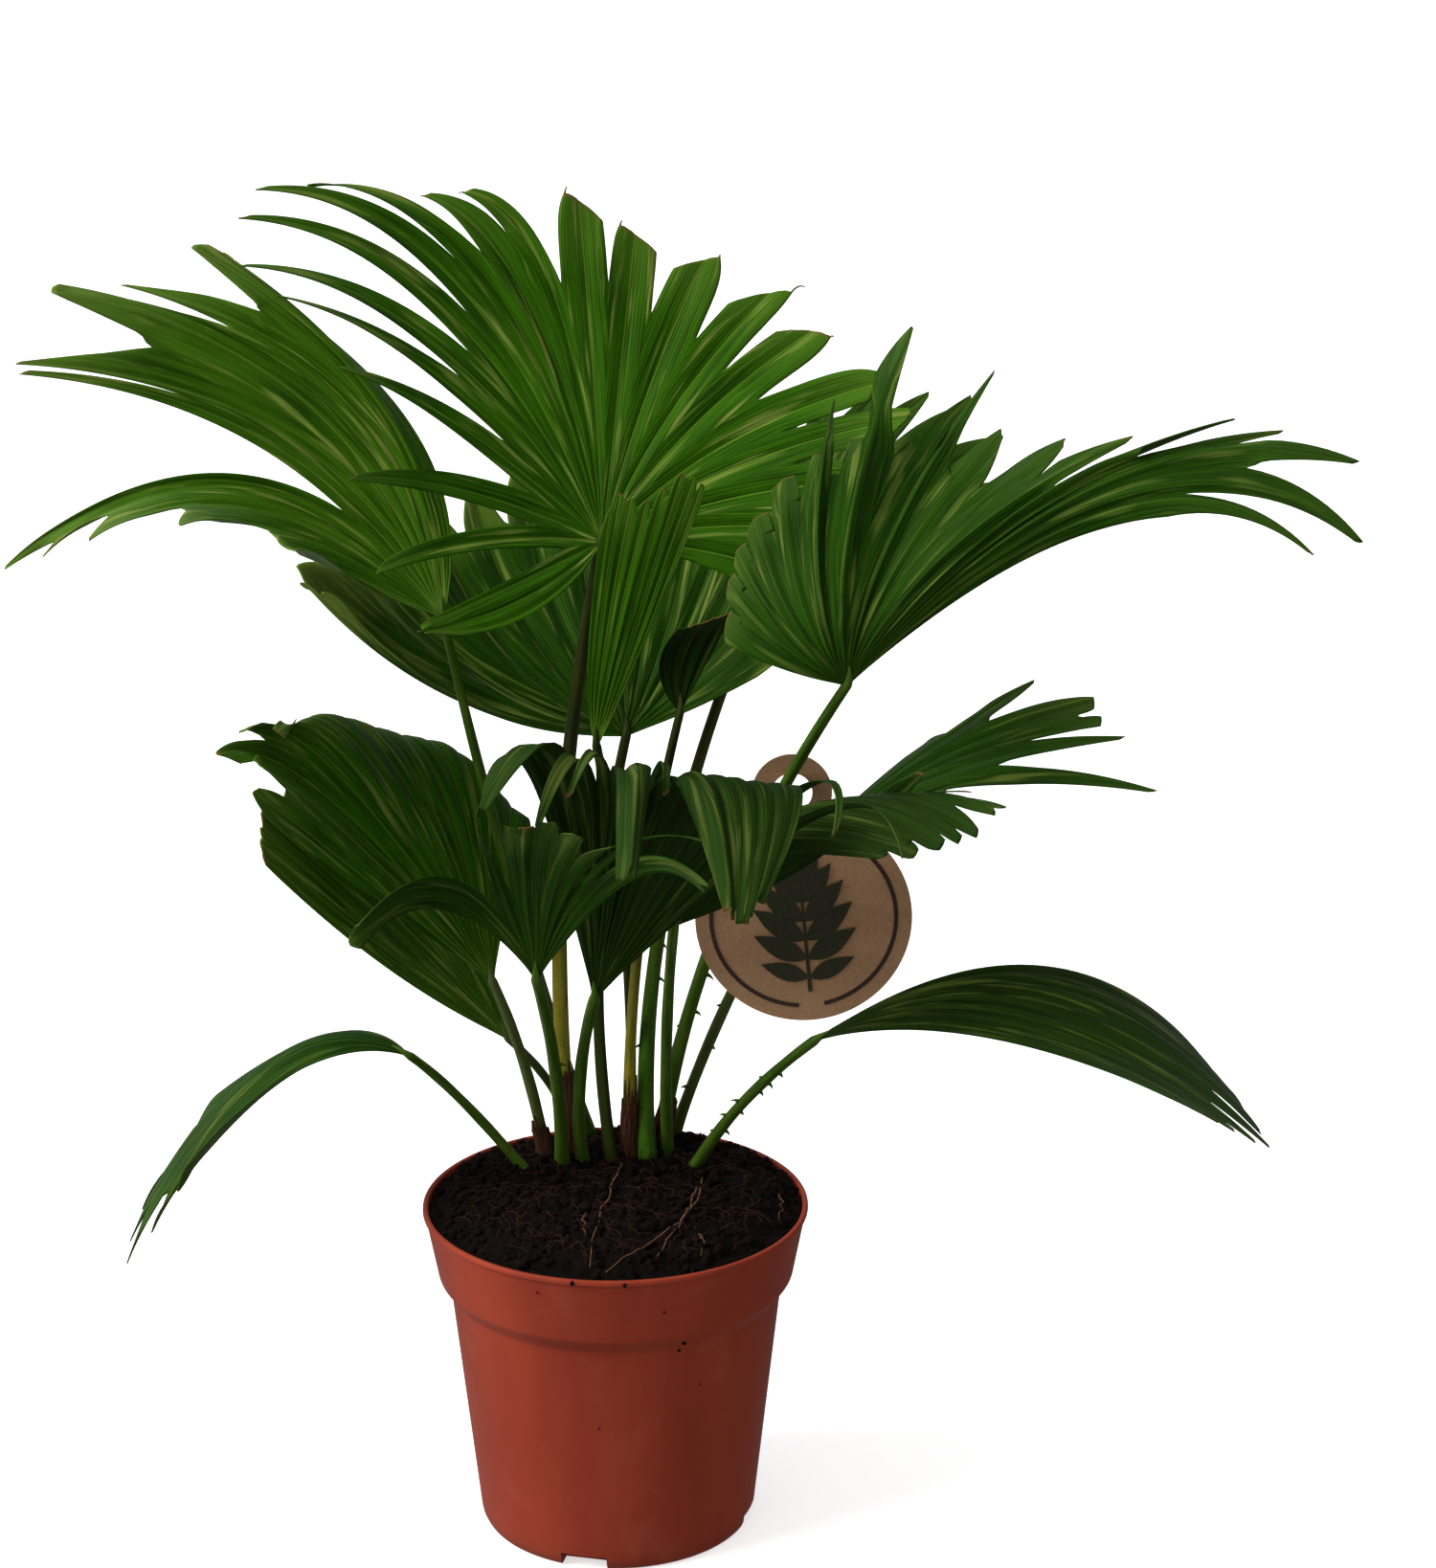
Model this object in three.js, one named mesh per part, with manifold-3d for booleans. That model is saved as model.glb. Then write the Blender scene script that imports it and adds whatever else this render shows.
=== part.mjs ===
// A young footstool palm in a 14 cm nursery pot.
// Millimetres, +Z up, +X to the right and +Y away from someone who stands in front of it.
// The origin is the middle of the pot's flat underside.
import * as THREE from 'three';
import { mergeVertices } from 'three/addons/utils/BufferGeometryUtils.js';
import Module from 'manifold-3d';

const wasm = await Module();
wasm.setup();

// Room kept between two pieces that touch
const GAP = 0.3;

// The pot, measured from its axis and from the surface that it stands on
const POT = {
  rimRadius: 70,
  rimHeight: 123,
  lipDrop: 2.4,
  lipStep: 0.9,
  lipRise: 0.5,
  lipWidth: 1.9,
  rimRounding: 0.3,
  collarFoot: 97,
  collarFootRadius: 64.6,
  neckHeight: 87,
  neckRadius: 59.8,
  footRadius: 50.5,
  footRounding: 3,
  wall: 1.3,
  floorTop: 8,
  sides: 40,
};

// The drain groove under the pot runs between its flat middle and its foot ring
const DRAIN = {
  innerRadius: 31,
  outerRadius: 47,
  height: 5.6,
  notchWidth: 17,
  notchLength: 12,
  notchTurn: -103,
  notches: 4,
  holes: 8,
  holeRadius: 3,
  holeCircle: 39,
  holeSides: 10,
};

// The soil is level round the stems and falls a little to the wall
const SOIL = { level: 127, levelRadius: 61, edge: 119.5, sides: 36 };

// Extra room where one faceted wall stands round another
const FACET_ROOM = 0.25;

const PETIOLE = { sides: 7, rings: 7, flare: 0.22, flareShare: 0.12 };
const KNOB_RADIUS = 3.6;

// Each leaf: its foot on the soil, the hub where its blade starts, and how far the stem between them bows.
// A blade opens from its hub about the aim (bearing, climb). Each row of tips is
// [fold, right, back, up, turn, spring, joined]: where the tip of that fold lies from the hub, how many
// degrees to the side of the aim the fold starts out, how far it keeps to that start before it bends to its
// tip, and the share of its length along which it stays joined to the next fold. The folds between two rows
// follow smoothly. Bearings turn from +X towards +Y. A leaf with colours of its own names its stem's and its
// blade's.
const LEAVES = [
  {
    name: 'top', folds: 19, hub: [-3, 12, 366], aim: [95, 60],
    foot: [-17.5, 38], bow: [-9, 4, 0], stem: [3.0, 2.2],
    tips: [[0, -61, -44, -20, -95, 0.5, 0.14], [1, -76, -40, 2, -82, 0.5, 0.26],
      [2, -84, -38, 35, -64, 0.45, 0.3], [3, -87, -34, 70, -52, 0.5, 0.41],
      [4, -108, -24, 92, -42, 0.6, 0.48], [5, -122, -12, 101, -35, 0.62, 0.52],
      [6, -123, 3, 114, -30, 0.68, 0.54], [7, -118, 13, 122, -24, 0.68, 0.58],
      [8, -102, 28, 122, -19, 0.66, 0.68], [9, -64, 46, 115, -13, 0.6, 0.8],
      [10, -49, 50, 116, -9, 0.6, 0.8], [11, -13, 54, 115, -3, 0.5, 0.8],
      [12, 12, 56, 97, 5, 0.5, 0.77], [14, 65, 48, 79, 20, 0.5, 0.71], [16, 95, 24, 52, 38, 0.5, 0.68],
      [17, 107, 8, 42, 50, 0.5, 0.6], [18, 83, -20, -3, 88, 0.5, 0.6]],
  },
  {
    name: 'left', folds: 14, hub: [-58, 0, 342], aim: [95, 66],
    foot: [-11, 53], bow: [-3, 2, 0], stem: [2.5, 1.9],
    tips: [[0, -43, -70, 42, -62, 0.6, 0.75], [1, -80, -68, 49, -52, 0.62, 0.8],
      [2, -111, -62, 44, -45, 0.66, 0.86], [3, -127, -58, 37, -40, 0.7, 0.9],
      [4, -141, -52, 32, -36, 0.7, 0.37], [5, -136, -34, 93, -32, 0.5, 0.64],
      [6, -139, -24, 93, -27, 0.5, 0.76], [7, -140, -14, 93, -21, 0.5, 0.8],
      [8, -128, 0, 114, -14, 0.5, 0.86], [10, -108, 20, 114, -2, 0.5, 0.82],
      [11, -85, 35, 126, 6, 0.5, 0.9], [13, -72, 58, 108, 22, 0.5, 0.9]],
  },
  {
    name: 'right', folds: 17, hub: [80, -60, 335], aim: [-80, 66],
    foot: [15.5, 46.5], bow: [-9, 12, 0], stem: [2.9, 2.3],
    tips: [[0, -40, 5, 37, 62, 0.5, 0.85], [1, -34, 15, 51, 50, 0.5, 0.85],
      [2, -23, 30, 57, 40, 0.5, 0.72], [3, -4, 60, 86, 32, 0.5, 0.7], [4, 4, 10, 75, 24, 0.5, 0.45],
      [5, 23, 60, 109, 16, 0.5, 0.45], [6, 43, 50, 87, 8, 0.5, 0.8], [7, 51, 55, 95, 2, 0.5, 0.76],
      [8, 52, 20, 84, -5, 0.5, 0.78], [9, 68, 0, 79, -12, 0.5, 0.72], [10, 90, 10, 82, -19, 0.5, 0.85],
      [11, 94, -20, 76, -25, 0.5, 0.72], [12, 124, -15, 93, -30, 0.55, 0.8],
      [13, 138, -20, 90, -33, 0.62, 0.84], [14, 161, -25, 82, -36, 0.75, 0.87],
      [15, 163, -32, 58, -38, 0.84, 0.78], [16, 147, -38, 55, -39, 0.89, 0.78]],
  },
  {
    name: 'back_middle', folds: 16, hub: [4, 45, 286], aim: [95, 45], stemColour: 'darkStem',
    foot: [-2, 28.5], bow: [-7.5, 2, 0], stem: [2.3, 1.8],
    tips: [[0, -106, -25, 62, -90, 0.52, 0.93], [2, -116, -12, 68, -84, 0.5, 0.93],
      [4, -75, 55, 76, -58, 0.5, 0.78], [8, -7, 105, 93, 0, 0.5, 0.78],
      [11, 38, 66, 80, 34, 0.5, 0.78], [13, 54, 22, 58, 54, 0.5, 0.78], [15, 58, -12, 38, 68, 0.5, 0.78]],
  },
  {
    name: 'back_right', folds: 12, hub: [54, 100, 327], aim: [70, 45], stemColour: 'darkStem',
    foot: [11.2, 31], bow: [-14, -14, 0], stem: [3.1, 2.2],
    tips: [[0, -33, 18, 12, -70, 0.5, 0.72], [2, -8, 42, 42, -40, 0.5, 0.72],
      [5, 27, 45, 65, -5, 0.5, 0.72], [8, 78, 32, 65, 28, 0.5, 0.72], [10, 93, 8, 40, 60, 0.5, 0.72],
      [11, 71, -12, 20, 78, 0.5, 0.72]],
  },
  {
    name: 'lower_left', folds: 12, hub: [-44, 15, 202], aim: [130, 70], steps: 8,
    foot: [-26.5, 32.5], bow: [2, 2, 0], stem: [2.3, 1.8],
    tips: [[0, -74, -60, 91, -42, 0.65, 0.85], [2, -91, -50, 102, -34, 0.65, 0.85],
      [4, -85, -30, 103, -24, 0.7, 0.93], [6, -76, 40, 62, -14, 1.38, 0.93],
      [8, -40, 60, 54, 2, 1.55, 0.93], [11, 4, 50, 34, 20, 1.6, 0.93]],
  },
  {
    name: 'under_left', folds: 10, hub: [-40, 38, 171], aim: [140, 60],
    foot: [-17.5, 56], bow: [3, 3, 0], stem: [1.9, 1.5],
    tips: [[0, -81, -40, 90, -44, 0.5, 0.85], [3, -85, -25, 99, -30, 0.5, 0.85],
      [6, -68, 5, 100, -15, 0.5, 0.85], [9, -36, 25, 68, 6, 0.5, 0.85]],
  },
  {
    name: 'small_front', folds: 10, hub: [-25, -50, 227], aim: [-95, 76], steps: 7,
    foot: [-20.4, 27], bow: [1.5, 8, 0], stem: [2.5, 2.0],
    tips: [[0, -56, -55, 33, 50, 0.7, 0.6], [1, -52, -50, 35, 44, 0.7, 0.93],
      [3, -10, -38, 67, 18, 0.6, 0.93], [5, 6, -30, 67, 2, 0.6, 0.6], [6, 16, -28, 64, -10, 0.6, 0.6],
      [7, 43, -27, 60, -24, 0.7, 0.6], [8, 57, -34, 63, -34, 0.7, 0.6], [9, 60, -42, 52, -44, 0.7, 0.6]],
  },
  {
    name: 'centre_front', folds: 12, hub: [-6, -32, 213], aim: [-90, 74], steps: 9,
    foot: [-13, 29], bow: [-3, 2, 0], stem: [2.5, 2.0],
    tips: [[0, -33, -48, 85, 32, 1.45, 0.6], [2, -17, -43, 78, 16, 1.6, 0.5],
      [4, 14, -73, 70, 0, 1.7, 0.5], [6, 39, -76, 67, -14, 1.55, 0.9],
      [8, 51, -78, 57, -22, 1.5, 0.93], [10, 62, -66, 66, -30, 1.3, 0.9],
      [11, 60, -50, 75, -38, 1.1, 0.9]],
  },
  {
    name: 'mid_right', folds: 8, hub: [71, 0, 260], aim: [10, 35],
    foot: [20.5, 53], bow: [-3.5, 2, 0], stem: [2.2, 1.8],
    tips: [[0, 48, 50, 26, -40, 0.5, 0.5], [1, 80, 42, 47, -30, 0.5, 0.6],
      [3, 103, 18, 42, -12, 0.5, 0.6], [4, 109, 2, 38, -2, 0.5, 0.6], [5, 118, -20, 25, 10, 0.5, 0.6],
      [7, 63, -40, 25, 28, 0.5, 0.6]],
  },
  {
    name: 'front_right', folds: 7, hub: [22, -34, 241], aim: [-8, 50], roll: -65,
    foot: [18.5, 37], bow: [-1.5, 4, 0], stem: [2.3, 1.8],
    tips: [[0, 55, -32, 43, 24, 0.8, 0.75], [1, 78, -40, 37, 16, 0.8, 0.75],
      [2, 95, -32, 51, 4, 0.6, 0.75], [4, 102, -36, 44, -12, 0.5, 0.75],
      [6, 90, -28, 39, -28, 0.4, 0.75]],
  },
  {
    name: 'left_strap', folds: 6, hub: [-73, 0, 179], aim: [170, 30], steps: 7,
    foot: [-34, 21], bow: [-2.5, 3, 4], stem: [2.0, 1.6],
    tips: [[0, -79, -45, -31, -24, 0.46, 0.85], [1, -90, -38, -50, -14, 0.47, 0.85],
      [2, -101, -28, -66, -4, 0.47, 0.85], [4, -99, 0, -58, 12, 0.46, 0.85],
      [5, -82, 14, -36, 24, 0.46, 0.85]],
  },
  {
    name: 'right_strap', folds: 8, hub: [71, -25, 195], aim: [-25, 38], roll: 30,
    foot: [28.7, 24.5], bow: [-3, 4, 0], stem: [2.2, 1.8],
    tips: [[0, 128, -90, 3, 20, 0.5, 0.85], [2, 138, -80, -3, 10, 0.5, 0.85],
      [4, 152, -63, -14, -1, 0.52, 0.85], [6, 148, -30, -14, -12, 0.54, 0.85],
      [7, 131, -5, -3, -18, 0.55, 0.85]],
  },
  {
    name: 'spatula', folds: 4, hub: [24, -5, 309], aim: [90, 80],
    foot: [4.4, 34.5], bow: [-5.5, 2, 0], stem: [2.3, 1.5],
    tips: [[0, 1, -9, 33, -34, 0.6, 1], [3, 16, -5, 37, 20, 0.6, 1]],
  },
  {
    name: 'spear', folds: 8, hub: [-5, -8, 298], aim: [90, 86], pleat: 0.6,
    stemColour: 'darkStem', bladeColour: 'youngLeaf',
    foot: [4, 48], bow: [4.5, 2, 0], stem: [1.9, 1.6],
    tips: [[0, 13, -2, 91, -10, 0.5, 1], [3, 23, 0, 95, 0, 0.5, 1], [5, 31, 2, 96, 8, 0.5, 1],
      [7, 36, 6, 91, 16, 0.5, 1]],
  },
];

const PLEAT = 0.36;

// The leaf bases that stay round some stems as dry brown sleeves: which stem, how high, how many degrees
// round it they reach, and the bearing of the open side
const SHEATHS = [
  { leaf: 'top', height: 40, reach: 250, faces: 60 },
  { leaf: 'lower_left', height: 26, reach: 230, faces: 200 },
  { leaf: 'spatula', height: 34, reach: 210, faces: -25 },
  { leaf: 'right', height: 24, reach: 220, faces: 20 },
];
const SLEEVE = { thickness: 0.9, columns: 9, rows: 4, pointing: 0.62, pointPower: 1.5, looseness: 0.5 };

// The card tag: a disc with a ring above it, hung on the right leaf's stem
const TAG = {
  discRadius: 37.7, ringRadius: 13.8, holeRadius: 7, apart: 46, thickness: 1, neck: 9,
  hole: [62.6, -28, 287.4], swing: -5.4, discSides: 36, ringSides: 28, holeSides: 24,
};

// Steps along a fold of a blade, unless its leaf asks for more; they get shorter towards its tip
const STEPS = 6;
const STEP_CROWDING = 1.4;
const BLADE_START = 2.6;
const JOINED = 6;
const TIP_HALF_WIDTH = 1.6;
const WIDEST_HALF = 9;
const TAPER_POWER = 4;
const CLEAR_SHARE = 0.47;
const NARROWEST_HALF = 0.5;
const THINNEST_BLADE = 1.2;
const LENGTH_TO_THICKNESS = 92;

const COLOURS = {
  pot: '#a34a2a',
  soil: '#22140f',
  leaf: '#22601a',
  youngLeaf: '#3c8a22',
  stem: '#4a7a2c',
  darkStem: '#4a3526',
  sheath: '#5c3320',
  card: '#a9835f',
};

const radians = THREE.MathUtils.degToRad;
const vector = (list) => new THREE.Vector3(...list);
const scaled = (v, amount) => v.clone().multiplyScalar(amount);
const plus = (...list) => list.reduce((sum, v) => sum.add(v), new THREE.Vector3());
const between = (a, b, share) => a.clone().lerp(b, share);

function heading(bearing, climb) {
  const flat = Math.cos(radians(climb));
  return new THREE.Vector3(
    Math.cos(radians(bearing)) * flat,
    Math.sin(radians(bearing)) * flat,
    Math.sin(radians(climb)),
  );
}

function meshOf(name, geometry, colour, roughness) {
  const plain = geometry.index ? geometry.toNonIndexed() : geometry;
  plain.computeVertexNormals();
  const mesh = new THREE.Mesh(plain, new THREE.MeshStandardMaterial({ color: colour, roughness, metalness: 0 }));
  mesh.name = name;
  return mesh;
}

// Solids: a geometry is merged to shared corners before manifold-3d takes it
function solidOf(geometry) {
  const bare = geometry.clone();
  for (const name of Object.keys(bare.attributes)) {
    if (name !== 'position') bare.deleteAttribute(name);
  }
  const merged = mergeVertices(bare, 1e-4);
  const index = merged.index.array;
  const kept = [];
  for (let i = 0; i < index.length; i += 3) {
    const [a, b, c] = [index[i], index[i + 1], index[i + 2]];
    if (a !== b && b !== c && c !== a) kept.push(a, b, c);
  }
  const solid = new wasm.Manifold(new wasm.Mesh({
    numProp: 3,
    vertProperties: new Float32Array(merged.attributes.position.array),
    triVerts: new Uint32Array(kept),
  }));
  if (solid.volume() > 0) return solid;
  const turned = [];
  for (let i = 0; i < kept.length; i += 3) turned.push(kept[i], kept[i + 2], kept[i + 1]);
  return new wasm.Manifold(new wasm.Mesh({
    numProp: 3,
    vertProperties: new Float32Array(merged.attributes.position.array),
    triVerts: new Uint32Array(turned),
  }));
}

function geometryOf(solid) {
  const mesh = solid.getMesh();
  const geometry = new THREE.BufferGeometry();
  geometry.setAttribute('position', new THREE.BufferAttribute(new Float32Array(mesh.vertProperties), 3));
  geometry.setIndex(new THREE.BufferAttribute(new Uint32Array(mesh.triVerts), 1));
  return geometry;
}

// A lathe's own axis is Y, so it is stood up on Z
function turned(points, sides) {
  const lathe = new THREE.LatheGeometry(points.map(([r, z]) => new THREE.Vector2(r, z)), sides);
  return lathe.rotateX(Math.PI / 2);
}

function upright(radius, height, sides) {
  return new THREE.CylinderGeometry(radius, radius, height, sides).rotateX(Math.PI / 2);
}

// The pot's outer wall, as its radius at a height
const OUTER_WALL = [
  [POT.footRadius, POT.footRounding],
  [POT.neckRadius, POT.neckHeight],
  [POT.collarFootRadius, POT.collarFoot],
  [POT.rimRadius - POT.lipStep, POT.rimHeight - POT.lipDrop],
  [POT.rimRadius, POT.rimHeight - POT.lipDrop + POT.lipRise],
];

function wallRadius(height) {
  for (let i = 1; i < OUTER_WALL.length; i += 1) {
    const [r1, z1] = OUTER_WALL[i - 1];
    const [r2, z2] = OUTER_WALL[i];
    if (height <= z2) return r1 + (r2 - r1) * (height - z1) / (z2 - z1);
  }
  return POT.rimRadius;
}

function makePot() {
  const { rimRadius, rimHeight, rimRounding, lipWidth, footRadius, footRounding, wall, floorTop } = POT;
  const inner = OUTER_WALL.slice(1, 4).reverse().map(([r, z]) => [r - wall, z]);
  const profile = [
    [0, 0], [footRadius - 0.8 * footRounding, 0], [footRadius - 0.2 * footRounding, footRounding * 0.4],
    ...OUTER_WALL,
    [rimRadius - rimRounding, rimHeight], [rimRadius - lipWidth, rimHeight],
    ...inner,
    [wallRadius(floorTop) - wall, floorTop], [0, floorTop],
  ];
  let pot = solidOf(turned(profile, POT.sides));
  const { innerRadius, outerRadius, height } = DRAIN;
  const groove = [[innerRadius, -1], [outerRadius, -1], [outerRadius, height], [innerRadius, height],
    [innerRadius, -1]];
  pot = pot.subtract(solidOf(turned(groove, POT.sides)));
  for (let i = 0; i < DRAIN.notches; i += 1) {
    const notch = new THREE.BoxGeometry(DRAIN.notchLength, DRAIN.notchWidth, 2 * height);
    notch.translate(outerRadius + 1, 0, 0);
    notch.rotateZ(radians(DRAIN.notchTurn + 360 * i / DRAIN.notches));
    pot = pot.subtract(solidOf(notch));
  }
  for (let i = 0; i < DRAIN.holes; i += 1) {
    const hole = upright(DRAIN.holeRadius, 3 * floorTop, DRAIN.holeSides);
    hole.translate(DRAIN.holeCircle, 0, 0);
    hole.rotateZ(radians(DRAIN.notchTurn + 360 * (i + 0.5) / DRAIN.holes));
    pot = pot.subtract(solidOf(hole));
  }
  return meshOf('pot', geometryOf(pot), COLOURS.pot, 0.5);
}

function makeSoil() {
  const room = POT.wall + GAP + FACET_ROOM;
  const heights = [POT.floorTop + GAP, POT.neckHeight, POT.collarFoot, SOIL.edge];
  const side = heights.map((z) => [wallRadius(z) - room, z]);
  const profile = [[0, heights[0]], ...side, [SOIL.levelRadius, SOIL.level], [0, SOIL.level]];
  return meshOf('soil', turned(profile, SOIL.sides), COLOURS.soil, 1);
}

// A leaf's frame: aim runs out along the blade, side across it, both at right angles
function frameOf(leaf) {
  const [bearing, climb] = leaf.aim;
  const aim = heading(bearing, climb);
  const side = new THREE.Vector3(Math.sin(radians(bearing)), -Math.cos(radians(bearing)), 0);
  side.applyAxisAngle(aim, radians(leaf.roll ?? 0));
  return { aim, side };
}

// A smooth value between rows at any fold, by Catmull-Rom over the rows
function alongRows(rows, fold, valueOf) {
  const last = rows.length - 1;
  let i = 0;
  while (i < last - 1 && fold > rows[i + 1][0]) i += 1;
  const share = THREE.MathUtils.clamp((fold - rows[i][0]) / (rows[i + 1][0] - rows[i][0]), 0, 1);
  const at = (k) => valueOf(rows[THREE.MathUtils.clamp(k, 0, last)]);
  const [p0, p1, p2, p3] = [at(i - 1), at(i), at(i + 1), at(i + 2)];
  const curve = (a, b, c, d) => 0.5 * (2 * b + (c - a) * share + (2 * a - 5 * b + 4 * c - d) * share ** 2
    + (3 * b - a - 3 * c + d) * share ** 3);
  return p0.map((_, k) => curve(p0[k], p1[k], p2[k], p3[k]));
}

// The line of one fold from the hub to its tip
function foldLine(leaf, fold) {
  const { aim, side } = frameOf(leaf);
  const [right, back, up, turn, spring] = alongRows(leaf.tips, fold, (row) => row.slice(1, JOINED));
  const start = plus(scaled(aim, Math.cos(radians(turn))), scaled(side, Math.sin(radians(turn))));
  const reach = Math.hypot(right, back, up);
  const hub = vector(leaf.hub);
  return new THREE.QuadraticBezierCurve3(
    hub,
    plus(hub, scaled(start, spring * reach)),
    plus(hub, new THREE.Vector3(right, back, up)),
  );
}

function linePoint(line, share) {
  const length = line.getLength();
  const from = BLADE_START / length;
  return line.getPointAt(THREE.MathUtils.clamp(from + (1 - from) * share, 0, 1));
}

// The blade as a pleated sheet of corners: shared edges between folds as far as they are joined
function bladeSheet(leaf) {
  const count = leaf.folds;
  const steps = leaf.steps ?? STEPS;
  const stations = Array.from({ length: steps }, (_, s) => 1 - (1 - s / (steps - 1)) ** STEP_CROWDING);
  const clampFold = (fold) => THREE.MathUtils.clamp(fold, 0, count - 1);
  const lines = Array.from({ length: 2 * count + 1 }, (_, k) => foldLine(leaf, clampFold((k - 1) / 2)));
  const outward = Math.sign(leaf.tips[leaf.tips.length - 1][4] - leaf.tips[0][4]);
  const pleat = leaf.pleat ?? PLEAT;
  const grid = stations.map((share) => lines.map((line) => linePoint(line, share)));
  const longest = Math.max(...lines.map((line) => line.getLength()));
  const thickness = Math.max(THINNEST_BLADE, longest / LENGTH_TO_THICKNESS);

  // Surface frame at a station of a fold, from its two neighbours and the way it runs
  const frames = stations.map((_, s) => lines.map((_line, k) => {
    const low = Math.max(k - 1, 1);
    const high = Math.min(k + 1, 2 * count - 1);
    const across = grid[s][high].clone().sub(grid[s][low]).multiplyScalar(outward);
    const along = grid[Math.min(s + 1, steps - 1)][k].clone().sub(grid[Math.max(s - 1, 0)][k]);
    along.normalize();
    across.addScaledVector(along, -across.dot(along)).normalize();
    const up = new THREE.Vector3().crossVectors(across, along).normalize();
    return { across, up };
  }));

  const spacing = (s, j) => grid[s][2 * j + 1].distanceTo(grid[s][2 * j + 3]);
  // The station nearest to where the edge between folds j and j + 1 comes apart
  const splits = Array.from({ length: count - 1 }, (_, j) => {
    const [joined] = alongRows(leaf.tips, j, (row) => [row[JOINED]]);
    const off = (s) => Math.abs(stations[s] - joined);
    return stations.reduce((best, _share, s) => (s > 0 && off(s) < off(best) ? s : best), 1);
  });

  const corners = [];
  const ups = [];
  const put = (point, up) => {
    corners.push(point);
    ups.push(up);
    return corners.length - 1;
  };
  const nearHalf = (s, j) => {
    const left = j > 0 ? spacing(s, j - 1) / 2 : Infinity;
    const right = j < count - 1 ? spacing(s, j) / 2 : Infinity;
    return Math.min(left, right);
  };
  const widest = (j) => {
    const left = j > 0 ? spacing(splits[j - 1], j - 1) / 2 : 0;
    const right = j < count - 1 ? spacing(splits[j], j) / 2 : 0;
    return Math.max(left, right);
  };
  const ribs = [];
  for (let j = 0; j < count; j += 1) {
    ribs.push(stations.map((share, s) => {
      const { up } = frames[s][2 * j + 1];
      const half = Math.min(nearHalf(s, j), widest(j));
      const tapering = 1 - share ** TAPER_POWER;
      return put(plus(grid[s][2 * j + 1], scaled(up, -0.5 * pleat * half * tapering)), up);
    }));
  }
  const shared = splits.map((split, j) => stations.slice(0, split + 1).map((_, s) => {
    const { up } = frames[s][2 * j + 2];
    const middle = between(grid[s][2 * j + 1], grid[s][2 * j + 3], 0.5);
    return put(plus(middle, scaled(up, 0.5 * pleat * spacing(s, j) / 2)), up);
  }));
  const edgeOf = (j, hand) => {
    const split = hand < 0 ? splits[j - 1] : splits[j];
    const joined = hand < 0 ? shared[j - 1] : shared[j];
    const from = split === undefined ? 0 : split;
    const startHalf = split === undefined
      ? undefined
      : Math.min(spacing(split, hand < 0 ? j - 1 : j) / 2, WIDEST_HALF);
    return stations.map((share, s) => {
      if (joined && s <= split) return joined[s];
      const { across, up } = frames[s][2 * j + 1];
      const run = split === undefined ? share : (share - stations[from]) / (1 - stations[from]);
      let half;
      if (split === undefined) {
        const inner = Math.min(nearHalf(s, j), widest(j));
        half = Math.max(inner * (1 - run ** TAPER_POWER), TIP_HALF_WIDTH);
      } else {
        half = Math.max(startHalf * (1 - run ** TAPER_POWER), TIP_HALF_WIDTH);
        half = Math.min(half, Math.max(CLEAR_SHARE * spacing(s, hand < 0 ? j - 1 : j), NARROWEST_HALF));
      }
      const offset = scaled(across, half * hand * outward);
      return put(plus(grid[s][2 * j + 1], offset, scaled(up, 0.5 * pleat * half)), up);
    });
  };
  const faces = [];
  const strip = (a, b) => {
    for (let s = 0; s + 1 < steps; s += 1) {
      faces.push([a[s], b[s], b[s + 1]], [a[s], b[s + 1], a[s + 1]]);
    }
  };
  for (let j = 0; j < count; j += 1) {
    strip(edgeOf(j, -1), ribs[j]);
    strip(ribs[j], edgeOf(j, 1));
  }
  if (outward < 0) faces.forEach((face) => face.reverse());
  return { corners, ups, faces, thickness };
}

// Gives a sheet its thickness: a face on each side and a wall along every open edge
function thickened({ corners, ups, faces, thickness }) {
  const positions = [];
  const topOf = (i) => plus(corners[i], scaled(ups[i], thickness / 2));
  const lowOf = (i) => plus(corners[i], scaled(ups[i], -thickness / 2));
  const add = (...points) => points.forEach((point) => positions.push(point.x, point.y, point.z));
  const edges = new Set(faces.flatMap(([a, b, c]) => [`${a}-${b}`, `${b}-${c}`, `${c}-${a}`]));
  for (const [a, b, c] of faces) {
    add(topOf(a), topOf(b), topOf(c));
    add(lowOf(a), lowOf(c), lowOf(b));
    for (const [from, to] of [[a, b], [b, c], [c, a]]) {
      if (edges.has(`${to}-${from}`)) continue;
      add(topOf(to), topOf(from), lowOf(from));
      add(topOf(to), lowOf(from), lowOf(to));
    }
  }
  const geometry = new THREE.BufferGeometry();
  geometry.setAttribute('position', new THREE.Float32BufferAttribute(positions, 3));
  return geometry;
}

function makeFrond(leaf) {
  const blade = solidOf(thickened(bladeSheet(leaf)));
  const knob = new THREE.SphereGeometry(KNOB_RADIUS, 8, 6).translate(...leaf.hub);
  const frond = blade.add(solidOf(knob));
  return meshOf(`frond_${leaf.name}`, geometryOf(frond), COLOURS[leaf.bladeColour ?? 'leaf'], 0.4);
}

// The line of a leaf's stem, from its flat cut on the soil to just short of the hub
function stemLine(leaf) {
  const foot = new THREE.Vector3(leaf.foot[0], leaf.foot[1], SOIL.level + GAP);
  const hub = vector(leaf.hub);
  const bend = plus(between(foot, hub, 0.5), scaled(vector(leaf.bow), 2));
  const toHub = hub.clone().sub(bend).normalize();
  const tip = hub.clone().addScaledVector(toHub, -(KNOB_RADIUS + GAP));
  return new THREE.QuadraticBezierCurve3(foot, bend, tip);
}

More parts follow.
